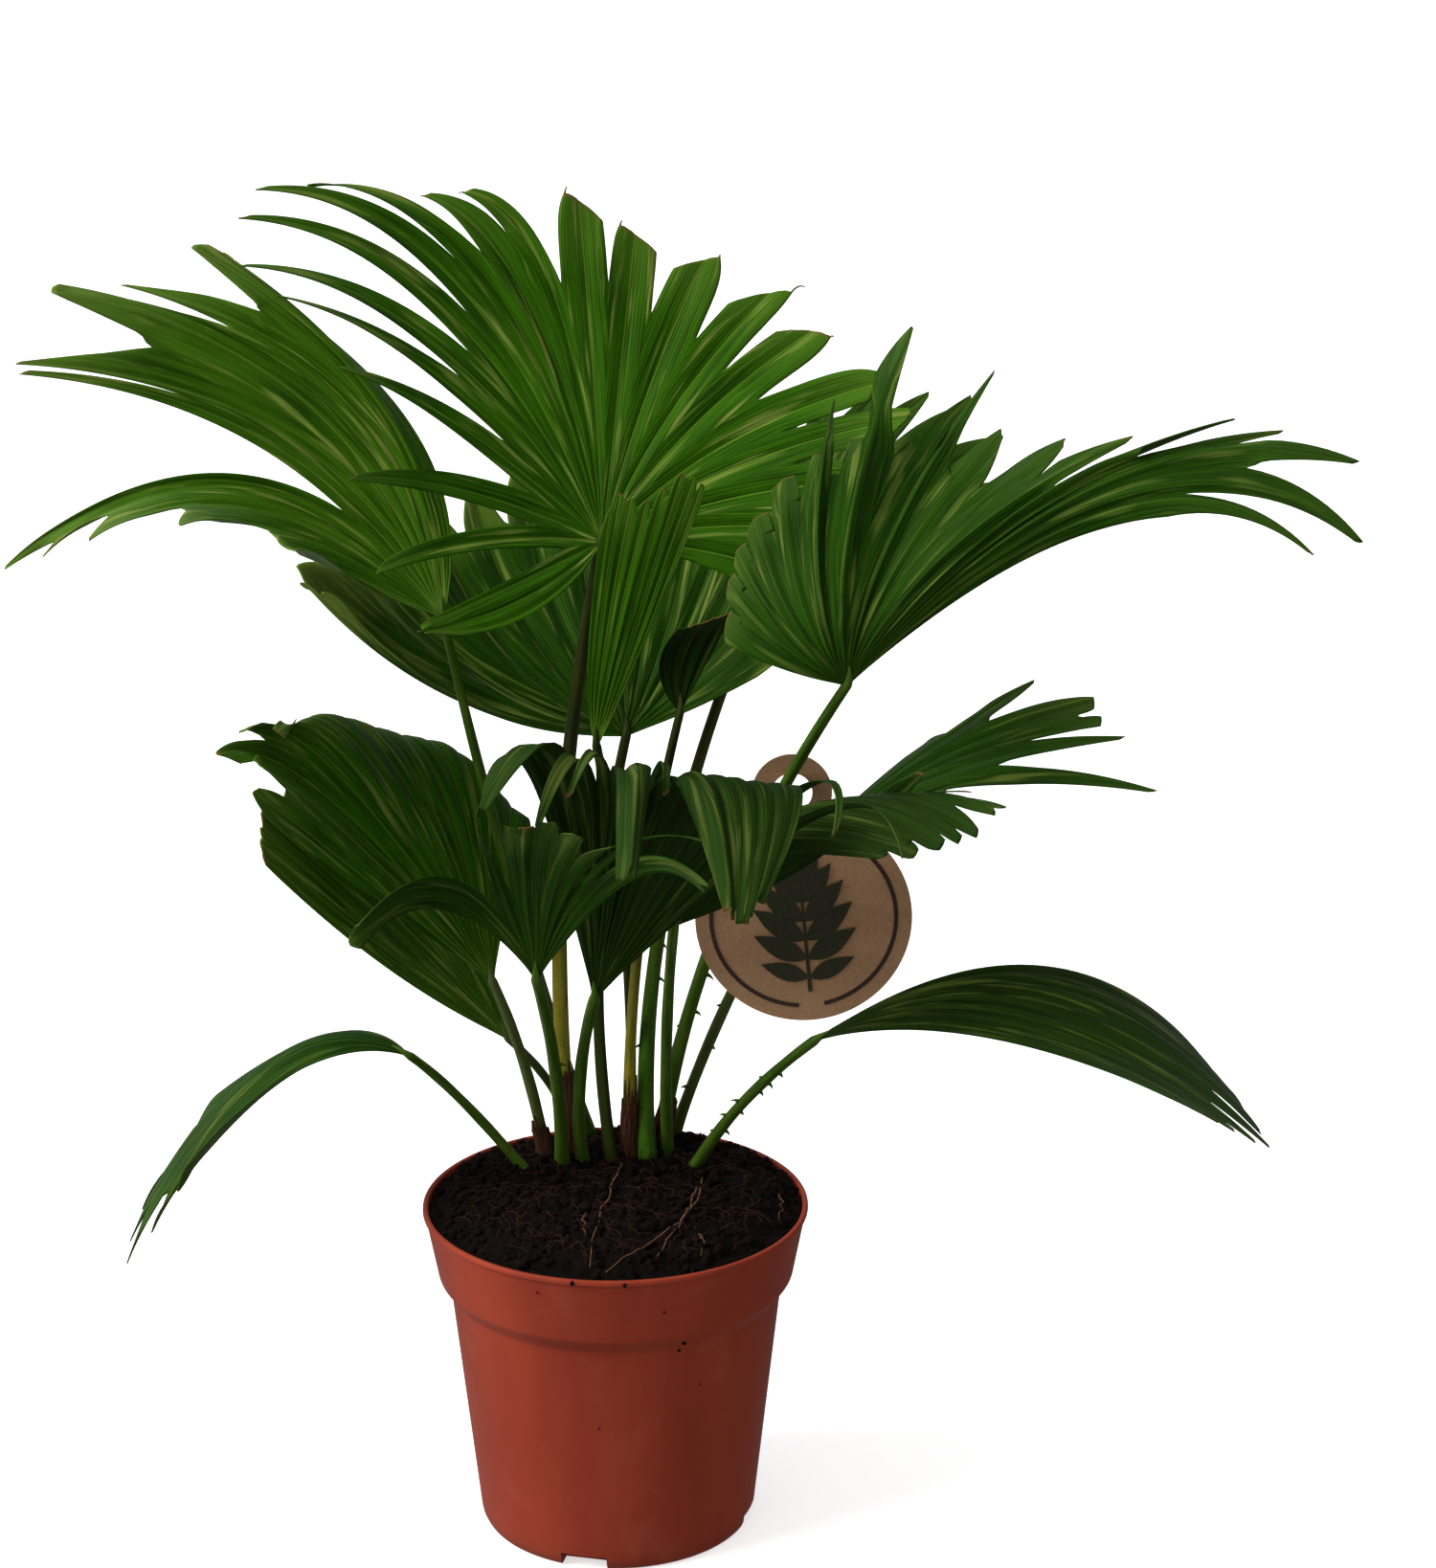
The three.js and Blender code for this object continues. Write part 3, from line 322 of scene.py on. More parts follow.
def fold_line(leaf, fold):
    """Points of one fold from the hub to its tip, and its length."""
    aim, side = frame_of(leaf)
    right, back, up, turn, spring, _ = along_rows(leaf.tips, fold)
    start = aim * cos(radians(turn)) + side * sin(radians(turn))
    tip = np.array([right, back, up])
    hub = np.array(leaf.hub, float)
    points = bent(hub, hub + start * spring * np.linalg.norm(tip), hub + tip)
    _, length = at_shares(points, [0, 1])
    first = BLADE_START / length
    return at_shares(points, first + (1 - first) * SHARES)


def run_past(split):
    """How far each step is along what is left of a fold past its split, from 0 to 1."""
    return np.clip((SHARES - SHARES[split]) / max(1 - SHARES[split], 1e-6), 0, 1)


class Fan:
    """One frond's folds as lines: their middles, the ridges that neighbours share, and where they part."""

    def __init__(self, leaf):
        tips = leaf.tips
        self.count = tips[-1][0] + 1
        self.straps = leaf.straps
        self.threads = leaf.threads
        self.outward = np.sign(tips[-1][4] - tips[0][4])
        lines = [fold_line(leaf, j) for j in range(self.count)]
        self.centres = [points for points, _ in lines]
        self.lengths = [length for _, length in lines]
        self.middles = [fold_line(leaf, j + 0.5)[0] for j in range(self.count - 1)]
        joined = [along_rows(tips, j)[-1] for j in range(self.count - 1)]
        self.splits = [int(np.clip(np.abs(SHARES - share).argmin(), 1, STEPS - 1)) for share in joined]
        self.frames = [self.frame(j) for j in range(self.count)]
        self.lift = 0.5 * leaf.pleat * (1.15 - 0.5 * SHARES[:, None])
        self.ridges = [self.ridge(j) for j in range(self.count - 1)]

    def frame(self, j):
        """The ways along, across and up from fold j, at each step."""
        low = self.middles[j - 1] if j > 0 else self.centres[0]
        high = self.middles[j] if j < self.count - 1 else self.centres[-1]
        along = unit(np.gradient(self.centres[j], axis=0))
        across = (high - low) * self.outward
        across = unit(across - np.sum(across * along, axis=1, keepdims=True) * along)
        return along, across, unit(np.cross(across, along))

    def ridge(self, j):
        """The edge that folds j and j + 1 share."""
        up = unit(self.frames[j][2] + self.frames[j + 1][2])
        spacing = np.linalg.norm(self.centres[j + 1] - self.centres[j], axis=1, keepdims=True)
        return self.middles[j] + up * self.lift * spacing / 2

    def edge(self, j, hand, taper, end):
        """One edge of fold j: the shared ridge as far as the split, then the free edge of its strap."""
        along, across, up = self.frames[j]
        neighbour = j - 1 if hand < 0 else j
        if not 0 <= neighbour < self.count - 1:
            return self.outer_edge(j, hand, taper, end)
        split = self.splits[neighbour]
        shared = self.ridges[neighbour]
        offset = shared[split] - self.centres[j][split]
        aside, ahead, rise = (float(offset @ axis[split]) for axis in (across, along, up))
        aside = abs(aside)
        start = min(aside, WIDEST_HALF)
        run = run_past(split)[:, None]
        settle = ease(run / SETTLE)
        half = start + (min(end, start) - start) * run ** taper
        half += (aside - start) * (1 - settle)
        rise = rise * (1 - settle) + self.lift * half * settle
        line = self.centres[j] + across * hand * self.outward * half
        line += along * ahead * (1 - settle) + up * rise
        line[:split + 1] = shared[:split + 1]
        return line

    def outer_edge(self, j, hand, taper, end):
        """The edge of the first or last fold, which has no neighbour on that side."""
        _, across, up = self.frames[j]
        inner = j - 1 if hand * (j or -1) > 0 else j
        inner = min(max(inner, 0), self.count - 2)
        room = np.linalg.norm(self.centres[inner + 1] - self.centres[inner], axis=1) / 2
        start = min(room[self.splits[inner]], WIDEST_HALF)
        run = run_past(self.splits[inner])
        half = start + (min(end, start) - start) * run ** taper
        half = np.minimum(half, np.maximum(room, NARROWEST_HALF))[:, None]
        return self.centres[j] + across * hand * self.outward * half + up * self.lift * half

    def freed(self, j):
        """The step at which fold j is free on both sides."""
        return max(self.splits[k] for k in (j - 1, j) if 0 <= k < self.count - 1)

    def grid(self, j, rng):
        """Fold j as a grid of points, steps along it by columns across it."""
        taper, end, twist, droop, slant = between_rows(self.straps, j)
        turned, hung = 1 + rng.uniform(-1, 1, 4)[:2] * STRAP_CHANCE
        along, _, up = self.frames[j]
        low = self.edge(j, -1, taper, end)
        high = self.edge(j, 1, taper, end)
        half = np.linalg.norm(high - low, axis=1, keepdims=True) / 2
        rib = self.centres[j] - up * self.lift * half * (1 - SHARES[:, None] ** 6)
        split = self.freed(j)
        run = run_past(split)
        turn = ease(run) * radians(twist) * turned
        fall = np.outer(droop * hung * run ** 2.2, [0, 0, -1])
        grid = np.zeros((STEPS, COLUMNS, 3))
        for k, u in enumerate(SPREAD):
            edge = low if u < 0 else high
            line = rib + (edge - rib) * abs(u) + up * BULGE * half * sin(pi * abs(u))
            line = self.centres[j] + turned_about(line - self.centres[j], along, turn) + fall
            cut = abs(slant) * (0.5 + 0.5 * u * np.sign(slant)) ** 2 + RAGGED * rng.uniform(0, 1)
            wanted = np.where(run > 0, SHARES[split] + (SHARES - SHARES[split]) * (1 - cut), SHARES)
            grid[:, k] = sampled(line, SHARES, wanted)
        return grid

    def thread(self, j, grid):
        """The withered thread at the long corner of fold j's strap: a thin strip that hangs over."""
        reach = self.threads.get(j)
        if not reach:
            return None
        corner = -1 if between_rows(self.straps, j)[-1] < 0 else 0
        start = grid[-1, corner]
        onward = unit(grid[-1, corner] - grid[-5, corner])
        inward = unit(grid[-1, 1 if corner == 0 else -2] - start)
        t = np.linspace(0, 1, THREAD_STEPS)[:, None]
        line = start + onward * reach * t + np.array([0, 0, -0.5 * reach]) * t ** 2.2
        width = 0.7 * (1 - t) ** 0.7 + 0.12
        return np.stack([line, line + inward * width], 1)


def cells(grid, flip=False):
    """The four corners of each cell of a grid, row by row."""
    corners = [grid[:-1, :-1], grid[:-1, 1:], grid[1:, 1:], grid[1:, :-1]]
    if flip:
        corners.reverse()
    return np.stack(corners, 2).reshape(-1, 4, *grid.shape[2:])


def pairs(first, second):
    """Two values for each point of a grid, from a value or array for each."""
    return np.stack(np.broadcast_arrays(first, second), -1).astype(float)


def ringed(numbers):
    """A grid whose rows close on themselves."""
    return np.concatenate([numbers, numbers[:, :1]], 1)


def linked(name, data):
    """A new object of some data, in the scene."""
    thing = bpy.data.objects.new(name, data)
    bpy.context.scene.collection.objects.link(thing)
    return thing


class Shape:
    """The points, faces and corner maps of one piece, in millimetres."""

    def __init__(self):
        self.points = []
        self.count = 0
        self.faces = []
        self.maps = {}

    def put(self, points):
        """Adds points and gives their numbers."""
        points = np.asarray(points, float)
        self.points.append(points.reshape(-1, 3))
        numbers = self.count + np.arange(len(self.points[-1]))
        self.count += len(numbers)
        return numbers.reshape(points.shape[:-1])

    def sheet(self, numbers, flip=False, **maps):
        """Faces between a grid of points. A map holds two values for each of them."""
        self.faces += cells(numbers, flip).tolist()
        for key, values in maps.items():
            self.maps.setdefault(key, []).append(cells(values, flip).reshape(-1, 2))

    def lid(self, numbers, **maps):
        """One face across a ring of points, with one pair of values for a map."""
        self.faces.append([int(number) for number in numbers])
        for key, pair in maps.items():
            self.maps.setdefault(key, []).append(np.full((len(numbers), 2), pair, float))

    def thing(self, name):
        """A plain object of this shape."""
        mesh = bpy.data.meshes.new(name)
        mesh.from_pydata((np.concatenate(self.points) * MM).tolist(), [], self.faces)
        mesh.update()
        for key, values in self.maps.items():
            layer = mesh.uv_layers.new(name=key, do_init=False)
            layer.data.foreach_set("uv", np.concatenate(values).astype(np.float32).ravel())
        return linked(name, mesh)

    def piece(self, name, material, slot, *nodes, smooth=True, thickness=None):
        """The finished piece. It takes the place of the nodes that are named."""
        piece = self.thing(name)
        if smooth:
            piece.data.shade_smooth()
        piece.data.materials.append(material)
        if thickness:
            solid = piece.modifiers.new("thickness", "SOLIDIFY")
            solid.thickness = thickness * MM
            solid.offset = 0
        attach(piece, "root")
        if nodes:
            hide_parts(*nodes)
        return piece


def full_turn(sides):
    return np.linspace(0, 2 * pi, sides, endpoint=False)


def add_tube(shape, points, radii, share=0.0):
    """A closed round limb along a line. radii has a row for each point, share is 0 to 1 along it."""
    along = unit(np.gradient(points, axis=0))
    across = unit(np.cross(np.array([0.0, 1.0, 0.0]), along))
    other = np.cross(along, across)
    turn = full_turn(radii.shape[1])[None, :, None]
    out = across[:, None] * np.cos(turn) + other[:, None] * np.sin(turn)
    numbers = shape.put(points[:, None] + radii[:, :, None] * out)
    run = run_along(points)
    around = np.linspace(0, 1, radii.shape[1] + 1)
    place = pairs((share + 0 * run)[:, None] + 0 * around, 0)
    shape.sheet(ringed(numbers), limb=pairs(run[:, None], around), place=place)
    shape.lid(numbers[0, ::-1], limb=(0, 0), place=(0, 0))
    shape.lid(numbers[-1], limb=(run[-1], 0), place=(1, 0))


# Materials: each is made by a short list of nodes
class Nodes:
    """A node tree with short calls for adding nodes and joining them."""

    def __init__(self, owner, shader="Principled BSDF"):
        self.owner = owner
        owner.use_nodes = True
        self.tree = owner.node_tree
        self.shader = self.tree.nodes[shader]

    def add(self, kind, *values, settings=None, **inputs):
        """A new node with its inputs set, in their order or by their names."""
        node = self.tree.nodes.new("ShaderNode" + kind)
        for key, value in (settings or {}).items():
            setattr(node, key, value)
        for socket, value in zip(node.inputs, values):
            self.put(socket, value)
        for key, value in inputs.items():
            self.put(node.inputs[key], value)
        return node

    def put(self, socket, value):
        if isinstance(value, bpy.types.NodeSocket):
            self.tree.links.new(value, socket)
        else:
            socket.default_value = value

    def math(self, operation, a, b=0.0):
        return self.add("Math", a, b, settings={"operation": operation}).outputs[0]

    def times(self, a, b):
        return self.math("MULTIPLY", a, b)

    def mix(self, share, a, b):
        """A blend of two colours, each a socket or a screen colour."""
        node = self.add("Mix", settings={"data_type": "RGBA"})
        for key, value in (("Factor", share), ("A", a), ("B", b)):
            value = colour(*value) if isinstance(value, tuple) else value
            self.put(next(i for i in node.inputs if i.name == key and i.enabled), value)
        return next(o for o in node.outputs if o.enabled)

    def ramp(self, value, low, high, to_low=0.0, to_high=1.0):
        """A value from low to high, carried over to another range."""
        return self.add("MapRange", value, low, high, to_low, to_high).outputs[0]

    def noise(self, vector, scale=1.0, detail=3.0, roughness=0.55):
        return self.add("TexNoise", Vector=vector, Scale=scale, Detail=detail, Roughness=roughness).outputs[0]

    def map(self, name):
        """The two values of one of a piece's maps."""
        return self.parts(self.add("UVMap", settings={"uv_map": name}).outputs[0])[:2]

    def parts(self, vector):
        return self.add("SeparateXYZ", Vector=vector).outputs

    def joined(self, x, y, z=0.0):
        return self.add("CombineXYZ", x, y, z).outputs[0]

    def place(self, kind="Object"):
        return self.add("TexCoord").outputs[kind]

    def bump(self, height, strength, distance):
        node = self.add("Bump", Height=height, Strength=strength, Distance=distance * MM)
        self.put(self.shader.inputs["Normal"], node.outputs[0])

    def set(self, **inputs):
        for key, value in inputs.items():
            self.put(self.shader.inputs[key.replace("_", " ")], value)
        return self.owner

    def finish(self, body, rough, gloss, tint=(1, 1, 1, 1)):
        """The material with its colour, roughness, and the strength and colour of its gloss."""
        return self.set(Base_Color=body, Roughness=rough, Specular_IOR_Level=gloss, Specular_Tint=tint)


def new_material(name):
    return Nodes(bpy.data.materials.new(name))


def colour(red, green, blue):
    """A screen colour, 0 to 255, as the linear colour that Blender takes."""
    def linear(value):
        value /= 255
        return value / 12.92 if value <= 0.04045 else ((value + 0.055) / 1.055) ** 2.4
    return (linear(red), linear(green), linear(blue), 1.0)


# Leaf greens: one green in lit and shaded copies, painted light and shade, for each leaf takes a lighter or
# darker copy by how much light falls on it; young alone is the new spear's own paler green.
# Each holds the dark and the light of a blade's streaks, the painted highlight along its ribs and its
# strength, its strap ends, and how much painted highlight lies on it in pale patches
LOOKS = {
    "bright": ((23, 56, 5), (49, 98, 6), (114, 152, 42), 0.4, (92, 130, 40), 0.62),
    "sunny": ((38, 74, 8), (70, 118, 18), (134, 160, 66), 0.35, (124, 150, 64), 1.0),
    "middle": ((18, 44, 7), (37, 74, 9), (66, 98, 30), 0.17, (74, 104, 38), 0.35),
    # shaded is for a leaf that lies in shadow: its greens and its very pale strap ends are painted light
    "shaded": ((20, 50, 6), (42, 84, 10), (80, 114, 36), 0.2, (160, 190, 76), 0.7),
    "dark": ((14, 31, 7), (28, 54, 9), (46, 76, 22), 0.14, (54, 84, 30), 0.25),
    "young": ((28, 62, 4), (58, 110, 10), (126, 168, 50), 0.75, (84, 124, 34), 0.4),
}
# A painted highlight: the pale olive of gloss streaks where the light catches the blades, laid on in patches
PAINTED_HIGHLIGHT = (140, 156, 70)
DRY_TIP = (112, 84, 46)
SCURF = (58, 42, 28)
LEAF_GLOSS = (0.8, 1.0, 0.25, 1.0)
VEIN_SPACING = 1.15


def leaf_material(look):
    """A blade's green: streaked along its folds, darker towards the hub, with pale strap ends, a painted
    highlight along each rib and painted highlights in pale patches.
    """
    deep, main, rib, rib_highlight_strength, end, highlight_strength = LOOKS[look]
    n = new_material(f"leaf_{look}")
    across, along = n.map("grain")
    _, share = n.map("place")
    dice, _ = n.map("dice")
    streaks = n.noise(n.joined(n.times(across, 0.8), n.times(along, 0.025), n.times(dice, 40)), detail=4.0)
    clouds = n.noise(n.joined(n.times(across, 0.05), n.times(along, 0.03), n.times(dice, 90)), detail=2.0)
    # Patches of painted highlight, where the gloss would catch the light
    highlight_patches = n.noise(n.joined(n.times(across, 0.33), n.times(along, 0.022), n.times(dice, 70)), detail=2.0)
    body = n.mix(n.ramp(streaks, 0.36, 0.66), deep, main)
    body = n.mix(n.ramp(clouds, 0.4, 0.72, 0, 0.5), body, main)
    body = n.mix(n.ramp(share, 0.3, 0.02, 0, 0.45), body, deep)
    # Lighter strap ends; in the shaded look they are painted light
    body = n.mix(n.ramp(share, 0.72, 1.0, 0, 0.4), body, end)
    # The painted highlight, laid on in pale patches
    body = n.mix(n.times(n.ramp(highlight_patches, 0.56, 0.72), highlight_strength), body, PAINTED_HIGHLIGHT)
    # A painted highlight along each fold's rib
    body = n.mix(n.ramp(n.math("ABSOLUTE", across), 0.42, 0.12, 0, rib_highlight_strength), body, rib)
    dry = n.times(n.ramp(share, 0.986, 0.998), n.ramp(dice, 0.55, 0.7))
    body = n.mix(n.times(dry, 0.85), body, DRY_TIP)
    veins = n.math("SINE", n.times(across, 2 * pi / VEIN_SPACING))
    fine = n.noise(n.joined(n.times(across, 3.2), n.times(along, 0.12), dice), detail=2.0)
    n.bump(n.math("ADD", n.times(veins, 0.5), fine), 0.5, 0.16)
    return n.finish(body, n.ramp(clouds, 0.3, 0.7, 0.4, 0.54), 0.08, LEAF_GLOSS)


def stem_material(name, foot, top, streak, scurf):
    """A stalk: fibrous green with long streaks and another colour at its foot."""
    n = new_material(name)
    along, around = n.map("limb")
    share, _ = n.map("place")
    grain = n.noise(n.joined(n.times(around, 9), n.times(along, 0.05)), detail=4.0)
    body = n.mix(n.ramp(share, 0.2, 0.62), foot, top)
    body = n.mix(n.ramp(grain, 0.45, 0.7, 0, 0.6), body, streak)
    body = n.mix(n.ramp(n.noise(n.place(), 420), 0.56, 0.66, 0, scurf), body, SCURF)
    n.bump(grain, 0.5, 0.25)
    return n.finish(body, 0.45, 0.2, LEAF_GLOSS)


def sleeve_material():
    n = new_material("dry_sheath")
    along, around = n.map("limb")
    fibres = n.noise(n.joined(n.times(around, 26), n.times(along, 0.07)), detail=5.0, roughness=0.7)
    n.bump(fibres, 0.9, 0.5)
    return n.finish(n.mix(n.ramp(fibres, 0.36, 0.68), (34, 18, 13), (104, 64, 42)), 0.8, 0.2)


def soil_material(name, deep, pale):
    n = new_material(name)
    lumps = n.noise(n.place(), 260, 6.0, 0.7)
    flecks = n.noise(n.place(), 1400, 2.0)
    body = n.mix(n.ramp(lumps, 0.38, 0.74), deep, pale)
    body = n.mix(n.ramp(flecks, 0.66, 0.76, 0, 0.4), body, (52, 30, 20))
    n.bump(n.math("ADD", lumps, n.times(flecks, 0.3)), 0.8, 1.2)
    return n.finish(body, 0.95, 0.1)


def fibre_material(name, dark, light):
    n = new_material(name)
    return n.finish(n.mix(n.noise(n.place(), 180), dark, light), 0.8, 0.2)


def pot_material():
    """Moulded terracotta-coloured plastic: satin, with faint flow marks, dust, scuffs and a darker foot."""
    n = new_material("pot_plastic")
    place = n.place()
    x, y, z = n.parts(place)
    flow = n.noise(n.joined(n.times(x, 30), n.times(y, 30), n.times(z, 7)), detail=4.0)
    dust = n.noise(place, 55, 4.0)
    scuffs = n.noise(place, 900, roughness=0.7)
    body = n.mix(n.ramp(flow, 0.35, 0.65), (141, 51, 32), (157, 60, 37))
    body = n.mix(n.ramp(dust, 0.55, 0.78, 0, 0.14), body, (190, 112, 84))
    body = n.mix(n.ramp(scuffs, 0.7, 0.78, 0, 0.3), body, (84, 38, 27))
    body = n.mix(n.ramp(z, 0.01, 0.0, 0, 0.3), body, (92, 44, 32))
    n.bump(n.noise(place, 2600, 2.0), 0.12, 0.1)
    return n.finish(body, n.ramp(dust, 0.3, 0.7, 0.46, 0.58), 0.14)


def card_material():
    n = new_material("kraft_card")
    fibres = n.noise(n.place(), 1500, 5.0, 0.7)
    body = n.mix(n.ramp(fibres, 0.35, 0.68), (138, 104, 74), (168, 132, 98))
    body = n.mix(n.ramp(n.noise(n.place(), 90, 2.0), 0.4, 0.7, 0, 0.3), body, (176, 140, 106))
    n.bump(fibres, 0.25, 0.15)
    return n.finish(body, 0.85, 0.15)


def print_material(name, ink):
    """Ink on card, a little worn."""
    n = new_material(name)
    wear = n.ramp(n.noise(n.place(), 2200, 2.0), 0.5, 0.75, 0, 0.3)
    return n.finish(n.mix(wear, ink, (110, 82, 60)), 0.7, 0.15)


def add_blade(shape, leaf, rng):
    """A frond's blade: folds joined for a share of their length, and free straps past it."""
    fan = Fan(leaf)
    grids = [fan.grid(j, rng) for j in range(fan.count)]
    flip = fan.outward < 0
    before = None
    for j, grid in enumerate(grids):
        numbers = shape.put(grid)
        if j > 0:
            joined = fan.splits[j - 1] + 1
            numbers[:joined, 0] = before[:joined, -1]
        before = numbers
        dice = pairs(rng.uniform(0, 1), np.zeros((STEPS, COLUMNS)))
        half = np.linalg.norm(grid[:, -1] - grid[:, 0], axis=1)[:, None] / 2
        grain = pairs(SPREAD * half, SHARES[:, None] * fan.lengths[j])
        shape.sheet(numbers, flip, grain=grain, place=pairs(abs(SPREAD), SHARES[:, None]), dice=dice)
        thread = fan.thread(j, grid)
        if thread is not None:
            flat = np.ones((THREAD_STEPS, 2))
            shape.sheet(shape.put(thread), flip, grain=pairs(0.8 * flat, 0), place=pairs(flat, 1),
                        dice=dice[:THREAD_STEPS, :2])


# Stems: how far they start below the soil's level, and how much and over what share they widen at the foot
SOIL_LEVEL = 127
STEM_DEPTH = 1
STEM_SIDES = 20
STEM_STEPS = 70
STEM_FLARE = 0.22
STEM_FLARE_SHARE = 0.12
# How far a stem runs on under its blade, and the share of its width that is left at the end
COSTA = 8
COSTA_STEPS = 9
COSTA_TIP = 0.15
# Relief round a stem, each wave's share of its radius and number of turns, and the same along it
RIBS = ((0.035, 5), (0.02, 9))
SWELL = (0.03, 17)
# Stalk colours at the foot, at the top and in the streaks, and how much brown scurf lies on them
STEM_LOOKS = {
    "green": ((62, 92, 22), (48, 80, 16), (92, 118, 40), 0.2),
    # gold darkens from its yellow foot towards its top: partly the stalk's own colour and partly painted
    # shade where it runs under its blade
    "gold": ((150, 142, 46), (40, 46, 20), (70, 74, 26), 0.2),
    "grey": ((82, 94, 42), (78, 90, 46), (54, 66, 30), 0.3),
    "brown": ((64, 106, 24), (58, 62, 24), (44, 38, 22), 0.4),
    "dark": ((42, 54, 18), (44, 56, 20), (28, 36, 14), 0.35),
}
THORN_REACH = (1.2, 3.6)
THORN_RADIUS = 0.9
THORN_SIDES = 6


def stem_line(leaf):
    foot = np.array([*leaf.foot, SOIL_LEVEL - STEM_DEPTH], float)
    hub = np.array(leaf.hub, float)
    return bent(foot, (foot + hub) / 2 + 2 * np.array(leaf.bow, float), hub)


def stem_radius(leaf, share):
    foot, top = leaf.stem
    flare = STEM_FLARE * foot * np.maximum(0, 1 - share / STEM_FLARE_SHARE) ** 2
    return foot + (top - foot) * share + flare


def add_stem(shape, leaf, rng):
    """A stalk from the soil to its hub, which runs on a little under the blade."""
    shares = np.linspace(0, 1, STEM_STEPS)
    points, _ = at_shares(stem_line(leaf), shares)
    hub = points[-1]
    ahead = unit(points[-1] - points[-2])
    costa = bent(hub, hub + 0.4 * COSTA * ahead, hub + COSTA * frame_of(leaf)[0])
    past, _ = at_shares(costa, np.linspace(0, 1, COSTA_STEPS))
    taper = np.concatenate([np.ones(STEM_STEPS), np.linspace(1, COSTA_TIP, COSTA_STEPS)[1:]])
    points = np.concatenate([points, past[1:]])
    shares = np.concatenate([shares, np.ones(COSTA_STEPS - 1)])
    *phases, along = rng.uniform(0, 6, 3)
    ribbed = 1 + sum(deep * np.cos(waves * full_turn(STEM_SIDES) + phase)
                     for (deep, waves), phase in zip(RIBS, phases))
    swell = 1 + SWELL[0] * np.sin(SWELL[1] * shares + along)
    radii = (stem_radius(leaf, shares) * swell * taper)[:, None] * ribbed[None, :]
    add_tube(shape, points, radii, shares)


def add_thorns(shape, leaf, rng):
    """Short hooked thorns along both edges of a stalk."""
    first, last, number = leaf.thorns
    line = stem_line(leaf)
    for i in range(number):
        share = first + (last - first) * (i + rng.uniform(-0.5, 0.5)) / number
        at, _ = at_shares(line, [share, share + 0.02])
        along = unit(at[1] - at[0])
        hand = rng.choice([-1, 1])
        out = unit(np.cross(along, [0, 1, 0])) * hand + np.array([0, -0.4, 0]) * rng.uniform(0, 1)
        base = at[0] + out * float(stem_radius(leaf, share)) * 0.8
        reach = rng.uniform(*THORN_REACH)
        spine = bent(base, base + out * reach * 0.7, base + out * reach - along * reach * 0.8)[::32]
        radii = np.linspace(THORN_RADIUS, 0.1, len(spine))[:, None] * np.ones(THORN_SIDES)
        add_tube(shape, spine, radii, share)


# Dry sleeves: height, how far round they reach and which way they face, and how ragged their tops are
SLEEVES = {"top": (38, 350, -80, 0.3), "lower_left": (18, 340, 240, 0.4), "spatula": (34, 300, -60, 0.5),
           "right": (25, 240, -60, 0.5)}
SLEEVE_COLUMNS = 60
SLEEVE_ROWS = 30
SLEEVE_THICKNESS = 0.6
SLEEVE_GAP = 0.6
SLEEVE_PEEL = 1.4


def make_sleeve(name, height, reach, faces, raggedness):
    leaf = LEAVES[name]
    seed = len(name)
    line = stem_line(leaf)
    _, length = at_shares(line, [0, 1])
    aside = np.linspace(-1, 1, SLEEVE_COLUMNS + 1)
    turn = np.radians(faces + aside * reach / 2)
    out = np.stack([np.cos(turn), np.sin(turn), 0 * turn], -1)
    ragged = np.array([noise.fractal(Vector((k * 0.33, seed, 0)), 0.7, 2.2, 3) for k in range(len(aside))])
    top = height * (1 - 0.45 * abs(aside) ** 2.5) * (1 - raggedness * (0.5 + ragged))
    rows = []
    for i in range(SLEEVE_ROWS + 1):
        up = i / SLEEVE_ROWS
        shares = up * top / length
        centres, _ = at_shares(line, shares)
        wrinkle = np.array([noise.noise(Vector((k * 0.4, i * 0.12, seed))) for k in range(len(aside))])
        clear = SLEEVE_GAP + 0.2 * (1 - up) + 0.3 * wrinkle + SLEEVE_PEEL * up ** 3 * np.maximum(0, ragged)
        rows.append(centres + out * (stem_radius(leaf, shares) + clear)[:, None])
    shape = Shape()
    limb = pairs(np.linspace(0, 1, SLEEVE_ROWS + 1)[:, None] * top, np.linspace(0, 1, SLEEVE_COLUMNS + 1))
    shape.sheet(shape.put(rows), limb=limb)
    shape.piece(f"sleeve_{name}", sleeve_look, "sheath", f"sheath_{name}", thickness=SLEEVE_THICKNESS)


# The pot, turned on its axis: radii of its rim, collar, neck and foot, and their heights
POT = Sizes(rim=70, rim_height=123, collar=64.6, collar_height=97, neck=60.3, neck_height=91.5, foot=50.5,
            foot_height=3, ring_height=8, floor_height=8, wall=1.3, rounding=1.2)
# The profile of its lip, outward and up from the rim, from the outside to the inside
LIP = [(-0.9, -2.4), (0, -1.9), (-0.1, 0), (-2.0, 0), (-2.3, -2.4)]
# The groove under its floor, and the notches and holes that are cut through it
DRAIN = Sizes(inner=31, outer=47, height=5.6, turn=-103, notches=4, notch=(12, 17), holes=8, hole_radius=3,
              hole_circle=39, hole_depth=30)
POT_SIDES = 160
ROUND_STEPS = 6
# Specks of soil on the pot's outside: turn, height and size
POT_SPECKS = [(-101, 122, 0.9), (-86, 121.6, 0.8), (-66, 93.4, 0.9), (-67, 90, 0.6), (-112, 116, 0.4),
              (-74, 109, 0.4), (-95, 60, 0.35), (-58, 74, 0.35)]


